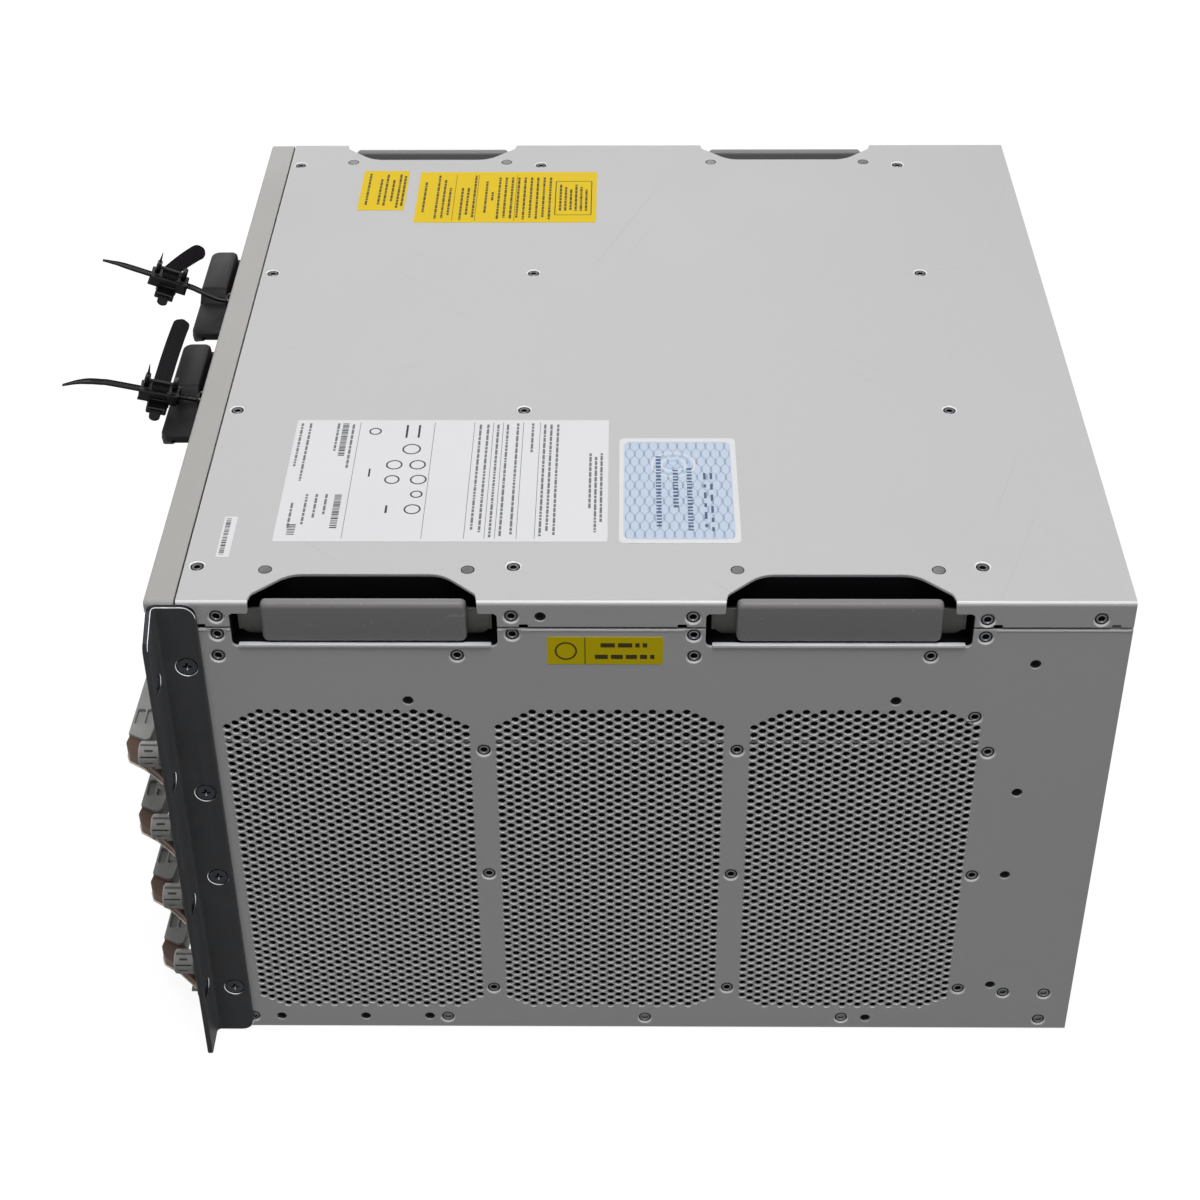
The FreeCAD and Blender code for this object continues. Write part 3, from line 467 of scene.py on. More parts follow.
def make_finishes():
    powder = dict(skin="paint_skin", bump=0.12, Clouding=0.012)
    finish("cover_paint", (201, 201, 201), wear=(0.22, (178, 178, 179)), Dust=0.1, **powder)
    finish("panel_paint", (203, 203, 204), wear=(0.18, (184, 184, 185)), Dust=0.06, **powder)
    finish("bezel_paint", (175, 173, 170), wear=(0.2, (168, 167, 165)), Dust=0.08, **powder)
    paint = dict(skin="paint_skin", Dust=0.1, Clouding=0.02)
    finish("grip_paint", (138, 136, 136), roughness=0.42, specular=0.3, wear=(0.5, (168, 168, 168)),
           **{**powder, "Clouding": 0.03, "Dust": 0.08})
    # painted highlight: a brighter paint laid along the cover's bends
    finish("bend_sheen", (246, 246, 247), roughness=0.34, **{**powder, "Clouding": 0.01, "Dust": 0.05})
    # painted highlight: near white for hole walls and dimple cones that catch the light
    finish("perforation_edge", (250, 250, 250), bump=0.05, **paint)
    finish("module_metal", (176, 177, 178), wear=(0.3, (196, 196, 196)), **paint)
    # painted shade: near black for handle pockets, gaps round rivets and studs, and hole inserts
    finish("pocket_black", (16, 16, 19), bump=0.05, specular=0.15, roughness=0.5,
           **{**paint, "Clouding": 0.04, "Dust": 0.0})

    lengthwise, upright_grain, even = (1.0, 0.08, 1.0), (1.0, 1.0, 0.1), (1.0, 1.0, 1.0)
    for name, colour, stretch, blotches, roughness in (
            ("zinc", (150, 153, 158), lengthwise, 0.12, None),
            ("dark_zinc", (92, 94, 98), lengthwise, 0.15, 0.42),
            # bracket steel darkened as painted shade under the cover
            ("bracket_steel", (66, 66, 64), lengthwise, 0.1, 0.45),
            ("bare_edge", (212, 213, 214), upright_grain, 0.2, None),
            ("contact_gold", (214, 170, 92), upright_grain, 0.05, None),
            ("stud_steel", (116, 116, 117), even, 0.35, 0.5),
            ("screw_steel", (46, 48, 52), even, 0.15, 0.3),
            ("rivet_steel", (104, 105, 108), even, 0.25, None),
            ("supply_metal", (150, 151, 154), (1.0, 0.1, 1.0), 0.12, 0.4),
            ("tray_metal", (160, 162, 165), (1.0, 0.1, 1.0), 0.12, 0.4)):
        finish(name, colour, skin="rolled_metal", metallic=1.0, bump=0.08, reach=0.0001,
               roughness=roughness, Stretch=stretch, Blotches=blotches)
    coat = dict(skin="rolled_metal", bump=0.05, reach=0.0001)
    finish("ear_coating", (90, 91, 93), specular=0.05, roughness=0.55, Stretch=(1.0, 1.0, 0.05),
           Blotches=0.08, **coat)
    # painted highlight: near white for the zinc lip under each grip
    finish("bright_lip", (236, 237, 240), roughness=0.35, Stretch=lengthwise, Blotches=0.04, **coat)

    plastic = dict(skin="moulded_grain", reach=0.0001)
    finish("lever_grey", (158, 158, 156), wear=(0.3, (176, 176, 174)), specular=0.3, **plastic)
    finish("lever_brown", (90, 68, 56), wear=(0.25, (118, 98, 86)), specular=0.3, **plastic)
    finish("lever_tan", (222, 208, 190), **plastic)
    finish("knob_grey", (172, 171, 169), wear=(0.3, (190, 189, 187)), specular=0.3, **plastic)
    finish("knob_shade", (72, 71, 70), specular=0.2, **plastic)
    finish("handle_black", (23, 21, 23), wear=(0.25, (60, 58, 60)), specular=0.16, roughness=0.5, **plastic)
    finish("nylon_black", (14, 13, 14), specular=0.16, roughness=0.32, Scale=500.0, **plastic)
    finish("port_black", (18, 18, 19), roughness=0.6, **plastic)
    finish("rotor_black", (34, 34, 36), roughness=0.45, **plastic)
    finish("light_pipe", (128, 170, 132), roughness=0.25, **plastic)
    finish("board_green", (38, 74, 52), skin="moulded_grain", bump=0.05, roughness=0.35, Scale=300.0)
    # painted shade: near black standing for the dark depths of holes and the insides behind vents
    finish("dark_void", (7, 7, 8), skin="moulded_grain", bump=0.05, specular=0.1, roughness=0.8)
    finish("strap_loops", (20, 18, 20), skin="hook_and_loop", bump=0.8, reach=0.0004, specular=0.1)

    for name, colour, worn in (
            ("label_yellow", (240, 204, 0), (214, 188, 30)), ("label_amber", (255, 230, 20), (228, 200, 40)),
            ("label_white", (236, 236, 238), (214, 214, 216)),
            ("label_blue", (205, 219, 238), (212, 222, 234)),
            ("label_blue_pale", (236, 241, 248), None), ("label_sky", (168, 198, 234), None),
            ("print_grey", (126, 126, 130), None), ("print_black", (62, 62, 66), None),
            ("print_blue", (92, 108, 138), None), ("print_dark", (84, 74, 40), None)):
        finish(name, colour, skin="paint_skin", bump=0.03, specular=0.07, roughness=0.4,
               wear=worn and (0.2, worn), Clouding=0.02, Dust=0.05)


# ------------------------------------------------------------------ pieces

SHARP_FROM = math.radians(32.0)


def piece(name, form, body, slot, *replaces):
    """Turns a form into an object that rides on a body and stands for the CAD nodes named last."""
    mesh = bpy.data.meshes.new(name)
    mesh.from_pydata([at(*p) for p in form.points], [], form.faces)
    names = list(dict.fromkeys(form.finishes))
    for finish_name in names:
        mesh.materials.append(FINISHES[finish_name])
    for polygon, finish_name in zip(mesh.polygons, form.finishes):
        polygon.material_index = names.index(finish_name)
    mesh.validate()
    bm = bmesh.new()
    bm.from_mesh(mesh)
    bmesh.ops.recalc_face_normals(bm, faces=bm.faces)
    bm.to_mesh(mesh)
    bm.free()
    mesh.shade_smooth()
    mesh.set_sharp_from_angle(angle=SHARP_FROM)
    made = bpy.data.objects.new(name, mesh)
    bpy.context.scene.collection.objects.link(made)
    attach(made, body)
    if replaces:
        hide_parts(*replaces)


# ------------------------------------------------------------------ rivets and screws

DIMPLE_R, HOLE_R, STUD_R = 3.75, 2.5, 2.65
# kind: facets round, rings as (finish, profile), and a disc that closes them
FASTENERS = {
    # countersunk dimple in the sheet with a hollow rivet; its cone is painted near white as a highlight and
    # the ring below it near black as shade
    "dimple_rivet": (18, [("perforation_edge", [(DIMPLE_R, -0.2), (3.05, -0.75)]),
                          ("pocket_black", [(3.05, -0.75), (2.4, -1.0)]),
                          ("rivet_steel", [(2.4, -1.0), (2.35, -0.7), (2.1, -0.48), (1.8, -0.5),
                                           (1.45, -0.95)]),
                          ("dark_void", [(1.45, -0.95), (1.35, -1.9)])], ("dark_void", 1.35, -1.9)),
    # painted rivet that stands up from the sheet, with an open centre
    "domed_rivet": (16, [("panel_paint", [(3.3, 0.0), (3.1, 0.4), (2.4, 0.85), (1.6, 1.0), (1.3, 0.7)])],
                    ("dark_void", 1.3, 0.7)),
    # insert a little way down an unused hole of the sheet, painted dark as shade
    "plain_hole": (14, [("pocket_black", [(HOLE_R + 0.1, -0.9), (1.7, -1.0), (1.5, -1.35)])],
                   ("dark_void", 1.5, -1.35)),
    # flush head of a pressed stud, a little lower than the paint round it, in a ring painted dark as shade
    "flush_stud": (18, [("pocket_black", [(STUD_R + 0.35, -0.05), (STUD_R + 0.12, -0.3)]),
                        ("stud_steel", [(STUD_R + 0.12, -0.3), (STUD_R, -0.08), (STUD_R - 0.3, -0.03),
                                        (0.9, -0.06)])], ("stud_steel", 0.9, -0.06)),
}


def fastener(kind, axis, origin):
    place, (n, rings, (closing, radius, out)) = facing(axis, origin), FASTENERS[kind]
    form = Form()
    for finish_name, profile in rings:
        form.add(lathe(profile, n, False), finish_name, place)
    return form.add(disc(radius, out, n), closing, place)


def cross_recess(r, width):
    """Outline of a cross-shaped driver recess in the plane of a screw's head."""
    w = width / 2
    return [(r, -w), (r, w), (w, w), (w, r), (-w, r), (-w, w), (-r, w), (-r, -w), (-w, -w), (-w, -r),
            (w, -r), (w, -w)]


def flat_head(axis, origin, radius):
    """Countersunk screw in a bright rim, its cross recess tapering down to a point painted dark as shade."""
    place, deep = facing(axis, origin), 1.7
    recess = cross_recess(radius * 0.44, radius * 0.2)
    head = raised(plate([circle(0, 0, radius, 24), recess], 1.0, 0.14), -0.1)
    form = Form().add(head, "screw_steel", place)
    walls = [[(a, b, -0.15) for a, b in recess], [(a * 0.45, b * 0.45, -deep) for a, b in recess]]
    form.add(loft(walls, capped=False), "rivet_steel", place)
    form.add((walls[1], [tuple(range(len(recess)))]), "dark_void", place)
    return form


# ------------------------------------------------------------------ cover and bezel

TOP_RIVETS = [(s * x, y) for y in (19.8, 158.7, 364.0) for x in (68.0, 196.0) for s in (-1, 1)]
TOP_STUDS = [(s * 199.0, y) for y in (50.1, 138.8, 256.7, 344.5) for s in (-1, 1)]
SIDE_RIVETS = [(31, 257.7), (30.5, 248), (29.7, 236.2), (134.3, 236.4), (158.5, 257.9), (158.7, 248.1),
               (237, 257.5), (237.5, 247.7), (237.8, 236.1), (341, 236.2), (363.8, 256.2),
               (363.9, 246.8), (412.7, 256.7), (363.4, 201.6), (371.1, 181.1), (371.1, 104.5),
               (144, 181.8), (258.2, 182), (143.6, 105), (257.7, 104.8), (143.2, 27.5), (257.9, 28),
               (371.4, 27.8), (393.7, 25.1), (413.9, 24.5), (22.7, 6.8), (119.6, 6.6), (217.7, 6.4),
               (315.2, 6.8), (413.1, 6)]
SIDE_HOLES = [(171, 257.9), (387, 232), (111.4, 211), (327.6, 211), (386.7, 157), (386.5, 105.1),
              (386.8, 30.7), (36.7, 6.9), (78.7, 7.1), (110.6, 7.2), (327.1, 6.8)]
COVER_LEG, COVER_BEND, COVER_TOP = 11.4, 3.456, 440.6
COVER_SPAN = 2 * (COVER_LEG + COVER_BEND) + COVER_TOP


def cover_u(x=None, z=None, left=False):
    """Distance along the folded cover of a height on its flange or a place on its top."""
    u = z - FLANGE_Z if z is not None else COVER_LEG + COVER_BEND + (HALF - BEND_R) - x
    return COVER_SPAN - u if left else u


def handle_notch(centre):
    """Half outline of the cover's opening over a handle, as (distance along the sheet, depth)."""
    half = [(0.0, -57.9), (7.0, -57.9), (7.0, -49.6), (14.86, -49.2), (18.7, -48.4), (32.9, -33.5)]
    radii = [0, 2.0, 0.8, 0, 3.5, 15.0]
    outline = [(u, centre + y) for u, y in half] + [(u, centre - y) for u, y in reversed(half)]
    return outline, radii + radii[::-1]


def cover_outline():
    """Flat blank of the cover: right edge from front to rear, then the left edge back."""
    edge, radii = [(0.0, COVER_FRONT)], [0]
    grips = list(GRIP_DEPTHS.values())
    for y in sorted([24.0, 163.7, 232.4, 368.5, 419.5] + grips):
        relief = [(0.0, y - 2.0), (1.3, y - 2.0), (1.3, y + 2.0), (0.0, y + 2.0)], [0, 0.5, 0.5, 0]
        points, r = handle_notch(y) if y in grips else relief
        edge += points
        radii += r
    edge.append((0.0, DEPTH))
    radii.append(0)
    back = [(COVER_SPAN - u, y) for u, y in reversed(edge)]
    return corners(edge + back, radii + radii[::-1], 5)


def cover_sheen(face):
    """The outer faces along the sheet's bends are painted brighter, as a painted highlight."""
    u = sum(p[0] for p in face) / len(face)
    along = min(u, COVER_SPAN - u) - COVER_LEG
    outside = max(p[2] for p in face) < SHEET / 2
    return "bend_sheen" if outside and 1.2 < along < COVER_BEND - 0.8 else "cover_paint"


def side_fasteners(above):
    """Kind, place and hole of each fastener of a side, on the cover's flange or on the panel."""
    for kind, places, radius, facets in (("dimple_rivet", SIDE_RIVETS, DIMPLE_R, 18),
                                         ("plain_hole", SIDE_HOLES, HOLE_R, 14)):
        for y, z in places:
            if (z > FLANGE_Z) == above:
                yield kind, y, z, radius, facets


def top_cover():
    holes = [circle(cover_u(z=z, left=left), y, radius, facets) for left in (False, True)
             for _, y, z, radius, facets in side_fasteners(above=True)]
    holes += [circle(cover_u(x=x), y, DIMPLE_R, 18) for x, y in TOP_RIVETS]
    holes += [circle(cover_u(x=x), y, STUD_R + 0.35, 18) for x, y in TOP_STUDS]
    place, cuts = fold_path((-HALF, FLANGE_Z), QUARTER,
                            [(COVER_LEG, 0), (COVER_BEND, -QUARTER), (COVER_TOP, 0),
                             (COVER_BEND, -QUARTER), (COVER_LEG, 0)])
    sheet = divided(plate([cover_outline()] + holes, SHEET, 0.22), cuts)

    def folded(p):
        x, z = place(p[0], p[2])
        return -x, p[1], z
    form = Form().add(sheet, cover_sheen, folded)
    form.blocks("cover_paint", (2.5 - HALF, HALF - 2.5, DEPTH - SHEET, DEPTH, FLANGE_Z, HEIGHT - SHEET, 0.2))
    for kind, y, z, _, _ in side_fasteners(above=True):
        for _, axis, x, _ in on_sides():
            form.join(fastener(kind, axis, (x, y, z)))
    for kind, places in (("dimple_rivet", TOP_RIVETS), ("flush_stud", TOP_STUDS)):
        for x, y in places:
            form.join(fastener(kind, "+z", (x, y, HEIGHT)))
    for x in (-190.0, -64.0, 64.0, 190.0):
        form.join(fastener("dimple_rivet", "+y", (x, DEPTH, 258.5)))
    piece("cover_sheet", form, "chassis", "cover_paint", "top_cover")


NOSE_END = 219.8                    # where the notch for a lever's nose ends


def card_opening():
    """Opening of the card cage in the bezel's face, with a notch for the nose of each lever."""
    right, left = 203.5, -159.7
    low, high, top = 4.4, 184.6, [(z - 12.7, z - 1.5) for z in SLOT_Z]
    points = [(left, low), (right, low)]
    for z0, z1 in top:
        points += [(right, z0), (NOSE_END, z0), (NOSE_END, z1), (right, z1)]
    points += [(right, high), (left, high)]
    for z0, z1 in reversed(top):
        points += [(left, z1), (MIRROR - NOSE_END, z1), (MIRROR - NOSE_END, z0), (left, z0)]
    return corners(points, 0.6, 3)


def front_bezel():
    """Strip bent round the case's mouth, as (inward, y) sections along its path, and the face in it."""
    top = HEIGHT - 0.3
    section = [(0.0, 13.1), (0.25, BEZEL_REAR), (1.5, BEZEL_REAR), (1.5, 1.5), (2.6, 1.5), (2.6, 0.0),
               (1.6, 0.0), (1.0, 0.12), (0.47, 0.47), (0.12, 1.0), (0.0, 1.6)]
    turn = 8
    path = [((HALF, FLANGE_Z), 0.0)]
    for side, start in ((1, 0.0), (-1, QUARTER)):
        centre = (side * (HALF - BEND_R), top - BEND_R)
        for k in range(turn + 1):
            a = start + QUARTER * k / turn
            path.append(((centre[0] + BEND_R * math.cos(a), centre[1] + BEND_R * math.sin(a)), a))
    path.append(((-HALF, FLANGE_Z), math.pi))
    rings = []
    for (x, z), a in path:
        bent = 0.01 < a < math.pi - 0.01 and abs(a - QUARTER) > 0.01
        steps = [(min(inward, BEND_R - 0.05) if bent else inward, y) for inward, y in section]
        rings.append([(x - step * math.cos(a), y, z - step * math.sin(a)) for step, y in steps])
    face = HALF - 1.8
    loops = [rectangle(-face, face, 1.5, top - 1.8, 1.0), card_opening(),
             rectangle(-216.5, -181.5, 8.5, 178.0, 1.0), rectangle(-198.5, 191.5, 187.2, 263.2, 1.0)]
    loops += [circle(x, z, 2.13, 16) for x, z, _ in knob_places()]
    form = Form().add(loft(rings), "bezel_paint").add(plate(loops, 1.5, 0.15), "bezel_paint", upright(0.0))
    piece("bezel_frame", form, "chassis", "bezel_paint", "front_bezel")


def knob_places():
    """Axis of each captive screw, and the words of its name."""
    for number, z in enumerate(SLOT_Z, start=1):
        for side, x in (("right", KNOB_X), ("left", MIRROR - KNOB_X)):
            yield x, z + KNOB_RISE, (number, side)
    for place, z in (("low", 6.15), ("high", 180.6)):
        yield TRAY_X, z, (place,)


# ------------------------------------------------------------------ side panels

ZONES = ((82.78, 29), (200.74, 27), (315.16, 27))       # centre and columns of each field
PITCH_Y, PITCH_Z, PERFORATION_R = 3.823, 4.426, 1.83
EDGE_ROWS = ((22.7, 40), (20.5, 41), (18.3, 42))
INNER_ROWS = ((18.3, 43), (16.1, 43))


def zone_columns(centre, columns):
    """Place, first hole's height and number of holes of each column of a field."""
    for column in range(columns):
        edge = min(column, columns - 1 - column)
        first, count = EDGE_ROWS[edge] if edge < 3 else INNER_ROWS[column % 2]
        yield centre + (column - (columns - 1) / 2) * PITCH_Y, first, count


def zone_edge(centre, columns):
    """Stepped border round a field of holes, where its cells end."""
    lower, upper = [], []
    for y, first, count in zone_columns(centre, columns):
        low, high = first - PITCH_Z / 2, first + (count - 0.5) * PITCH_Z
        lower += [(y - PITCH_Y / 2, low), (y + PITCH_Y / 2, low)]
        upper += [(y - PITCH_Y / 2, high), (y + PITCH_Y / 2, high)]
    outline = lower + upper[::-1]
    return [p for i, p in enumerate(outline) if p != outline[i - 1]]


def perforated_cell(y, z):
    """One cell of the lattice: a chamfered hole through the sheet between its border points."""
    n, r = 12, PERFORATION_R
    hy, hz = PITCH_Y / 2, PITCH_Z / 2
    border = [(hy, 0), (hy, hz), (-hy, hz), (-hy, 0), (-hy, -hz), (hy, -hz)]
    points = [(y + a, z + b, w) for w in (0.0, SHEET) for a, b in border]
    points += [(a, b, w) for radius, w in ((r + 0.13, 0.0), (r, 0.2), (r, SHEET))
               for a, b in circle(y, z, radius, n)]
    hole, faces = 12, []
    for k in range(6):
        m = (k + 1) % 6
        # each side of the border faces the three ring points between its ends
        run = [hole + i % n for i in range(2 * k, 2 * k + 3)]
        faces.append((k, m) + tuple(reversed(run)))
        faces.append((6 + m, 6 + k) + tuple(2 * n + i for i in run))
    for a in (hole, hole + n):
        faces += [(a + i, a + n + i, a + n + (i + 1) % n, a + (i + 1) % n) for i in range(n)]
    return points, faces


def hole_sheen(face):
    """The walls of the holes are painted brighter than the web between them, as a painted highlight of lit
    walls.
    """
    depths = [p[2] for p in face]
    return "perforation_edge" if max(depths) - min(depths) > 0.01 else "panel_paint"


def lattice(centre, columns):
    form = Form()
    for y, first, count in zone_columns(centre, columns):
        for row in range(count):
            form.add(perforated_cell(y, first + row * PITCH_Z), hole_sheen)
    return form


def side_outline():
    """Outline of the side panel with the notches under the handles."""
    points, radii = [(0.0, 0.0), (DEPTH, 0.0), (DEPTH, PANEL_TOP)], [0, 0, 0]
    for centre in sorted(GRIP_DEPTHS.values(), reverse=True):
        points += [(centre + 57.9, PANEL_TOP), (centre + 57.9, 241.5), (centre - 57.9, 241.5),
                   (centre - 57.9, PANEL_TOP)]
        radii += [0.5, 2.5, 2.5, 0.5]
    points.append((0.0, PANEL_TOP))
    return corners(points, radii + [0], 5)


def panel_hem():
    """Rounded hem along the side panel's top edge, between the handles' notches."""
    section = [(-0.6, 249.8), (0.0, 249.8), (0.18, 250.1), (0.24, 250.5), (0.14, 250.9), (-0.1, 251.15),
               (-0.6, PANEL_TOP)]
    gaps = [(centre, 58.4) for centre in GRIP_DEPTHS.values()]
    gaps += [(y, 4.3) for y, z in SIDE_RIVETS if abs(z - 248.0) < 1.5]
    form, stops = Form(), [1.0]
    for y, half in sorted(gaps):
        stops += [max(y - half, stops[-1]), y + half]
    stops.append(DEPTH - 1.0)
    for start, end in zip(stops[::2], stops[1::2]):
        if end - start < 1.0:
            continue
        form.add(loft([[(y, z, -out) for out, z in section] for y in (start, end)]), "panel_paint")
    return form


def side_panels():
    loops = [side_outline()] + [zone_edge(*zone) for zone in ZONES]
    loops += [circle(y, z, radius, facets) for _, y, z, radius, facets in side_fasteners(above=False)]
    sheet = plate(loops, SHEET, 0.18, plain=(1, 2, 3))
    lattices = [lattice(*zone) for zone in ZONES]
    for side, axis, x, _ in on_sides():
        inward = facing("-x" if x > 0 else "+x", (x, 0.0, 0.0))
        form = Form().add(sheet, "panel_paint", inward).join(panel_hem(), inward)
        for kind, y, z, _, _ in side_fasteners(above=False):
            form.join(fastener(kind, axis, (x, y, z)))
        piece(f"side_sheet_{side}", form, "chassis", "panel_paint", f"side_panel_{side}")
        for number, cells in enumerate(lattices, start=1):
            piece(f"side_grille_{side}_{number}", Form().join(cells, inward), "chassis", "panel_paint",
                  f"side_panel_{side}")
    # painted shade: a dark sheet behind the right-hand grilles, darkening what shows through the holes
    shade_sheet = Form().blocks("dark_void", (218.9, 219.5, 28.0, 374.0, 12.0, 212.0))
    piece("air_baffle", shade_sheet, "chassis", "zinc_sheet")


# ------------------------------------------------------------------ carry handles

def bent_sheet(points, thickness, start, end):
    """Thin sheet along a line of (a, b) points with thickness to its left, between two places."""
    line = [Vector(p) for p in points]
    offset = []
    for i, p in enumerate(line):
        runs = [(q - p) * way for q, way in ((line[max(i - 1, 0)], -1), (line[min(i + 1, len(line) - 1)], 1))]
        normals = [Vector((-d.y, d.x)).normalized() for d in runs if d.length]
        n = sum(normals, Vector((0, 0)))
        offset.append(p + n / max(n.dot(normals[0]), 0.2) * thickness)
    ring = line + offset[::-1]
    return loft([[(p.x, w, p.y) for p in ring] for w in (start, end)])


def carry_handle(centre):
    """Sheet pocket, bracket, turned-out lip and painted grip bar of the right-hand side; the pocket is
    painted near black and the bracket darkened as shade, and the lip is painted near white as a highlight.
    """
    y0, y1, wall, bevel = centre - 59.1, centre + 59.1, 1.2, 0.15
    inner, outer, low, top = 201.1, 220.2, 240.0, HEIGHT - SHEET
    form = Form().blocks("pocket_black", (inner, inner + wall, y0, y1, low, top, bevel),
                         (inner, outer, y0, y1, low, low + wall, bevel),
                         (inner, outer, y0, y0 + wall, low, top, bevel),
                         (inner, outer, y1 - wall, y1, low, top, bevel))
    lip = [(220.4, 240.6), (220.9, 241.6), (221.4, 241.75), (HALF + 0.7, 241.75)]
    form.add(bent_sheet(lip, 1.0, centre - 54.9, centre + 54.9), "bright_lip")
    face = [(centre - 54.5, 258.0), (centre - 54.5, 244.2), (centre + 54.5, 244.2), (centre + 54.5, 258.0)]
    bracket = plate([corners(face, [1.0, 5.0, 5.0, 1.0], 5)], 1.6, 0.3)
    form.add(bracket, "bracket_steel", facing("-x", (216.2, 0.0, 0.0)))
    for side in (-1, 1):
        run = [(216.1, centre + side * 51.0), (216.1, centre + side * 55.2), (209.0, centre + side * 57.2)]
        form.add(bent_sheet(run, 1.4 * side, 246.5, 257.5), "bracket_steel", upright(0.0))
    form.join(grip_bar(centre))
    back = rectangle(centre - 41.5, centre + 41.5, 247.0, 257.4, 2.0)
    form.add(loft([[(x, y, z) for y, z in inset(back, s)] for x, s in ((216.3, 0.0), (214.4, 0.4))]),
             "bracket_steel")
    return form


GRIP_LOW, GRIP_HIGH, GRIP_BACK, GRIP_FACE, GRIP_HALF = 243.4, 264.0, 216.2, 221.5, 44.5
GRIP_END_R = 2.6


def grip_bar(centre):
    """Painted bar, well rounded along its top and a little along its lower edge and ends."""
    section = rectangle(GRIP_BACK, GRIP_FACE, GRIP_LOW, GRIP_HIGH, [0.3, 1.4, 3.2, 1.8], 7)
    middle, half = (GRIP_LOW + GRIP_HIGH) / 2, (GRIP_HIGH - GRIP_LOW) / 2
    rings = []
    for side in (-1, 1):
        for k in range(7):
            a = QUARTER * (k / 6 if side < 0 else 1 - k / 6)
            trim, along = GRIP_END_R * (1 - math.sin(a)), GRIP_HALF - GRIP_END_R * (1 - math.cos(a))
            rings.append([(GRIP_BACK + (x - GRIP_BACK) * (1 - 0.3 * trim / GRIP_END_R),
                           centre + side * along, middle + (z - middle) * (1 - trim / half))
                          for x, z in section])
    return Form().add(loft(rings), "grip_paint")


def carry_handles():
    for place, centre in GRIP_DEPTHS.items():
        handle = carry_handle(centre)
        for side, _, _, turn in on_sides():
            piece(f"grip_{side}_{place}", Form().join(handle, turn), "chassis", "grip_paint",
                  f"carry_handle_{side}_{place}")


# ------------------------------------------------------------------ rack ears

EAR_T, EAR_TOP, EAR_FRONT, EAR_BACK, EAR_REACH = 2.5, 264.6, 1.8, 22.7, 241.3
EAR_SLOT_X, EAR_SLOT_Z = 232.55, (37.7, 94.9, 171.0, 228.2)
EAR_SCREW_Y, EAR_SCREW_Z = 15.9, (30.3, 105.0, 158.1, 232.0)
EAR_FOLD_R = 2.0                    # on the hollow side


def slot_outline(u, z, run, radius, steps=6):
    """Long round-ended slot, as a loop."""
    ends = [(side * run, start + math.pi * k / steps) for side, start in ((1, -QUARTER), (-1, QUARTER))
            for k in range(steps + 1)]
    return [(u + along + radius * math.cos(a), z + radius * math.sin(a)) for along, a in ends]


EAR_FLANGE = EAR_BACK - EAR_FRONT - EAR_T - EAR_FOLD_R


def ear_u(x=None, y=None):
    """Distance along the ear's sheet from its rear edge."""
    if y is not None:
        return EAR_BACK - y
    return EAR_FLANGE + QUARTER * EAR_FOLD_R + x - HALF - EAR_T - EAR_FOLD_R


def ear_finish(face):
    """Bare metal where the sheet was sheared at its ends, slots and screw holes; dark elsewhere."""
    u, z = (sum(p[axis] for p in face) / len(face) for axis in (0, 1))
    depth = max(p[2] for p in face) - min(p[2] for p in face)
    inside = 1.5 < u < ear_u(x=EAR_REACH) - 1.5
    if not 0.05 < depth < EAR_T - 0.05 or not (inside or min(z, EAR_TOP - z) < 14.0):
        return "ear_coating"
    return "bare_edge" if depth < 0.5 else "screw_steel"


def rack_ears():
    length = ear_u(x=EAR_REACH)
    outline = corners([(0.0, 0.0), (length, 0.0), (length, EAR_TOP - 9.0), (ear_u(x=226.0), EAR_TOP),
                       (0.0, EAR_TOP)], [6.0, 1.0, 4.0, 3.0, 6.0], 6)
    loops = [outline] + [slot_outline(ear_u(x=EAR_SLOT_X), z, 2.0, 3.5) for z in EAR_SLOT_Z]
    loops += [circle(ear_u(y=EAR_SCREW_Y), z, 4.9, 24) for z in EAR_SCREW_Z]
    place, cuts = fold_path((HALF + EAR_T, EAR_BACK), -QUARTER,
                            [(EAR_FLANGE, 0), (QUARTER * EAR_FOLD_R, QUARTER),
                             (EAR_REACH - HALF - EAR_T - EAR_FOLD_R, 0)])
    sheet = divided(plate(loops, EAR_T, 0.25), cuts)

    def folded(p):
        x, y = place(p[0], p[2])
        return x, y, p[1]
    form = Form().add(sheet, ear_finish, folded)
    screws = Form()
    for z in EAR_SCREW_Z:
        screws.join(flat_head("+x", (HALF + EAR_T - 0.1, EAR_SCREW_Y, z), 4.4))
    for side, turn in (("right", None), ("left", lambda p: (-p[0], p[1], p[2] * 0.99))):
        piece(f"rack_ear_sheet_{side}", Form().join(form, turn), "chassis", "ear_coating",
              f"rack_ear_{side}")
        piece(f"rack_ear_screws_{side}", Form().join(screws, turn), "chassis", "screw_steel", "ear_screws")


# ------------------------------------------------------------------ levers and captive screws

LEVER_LOW, LEVER_HIGH = -12.4, -1.8
LEVER_STEP = LEVER_HIGH - 1.6


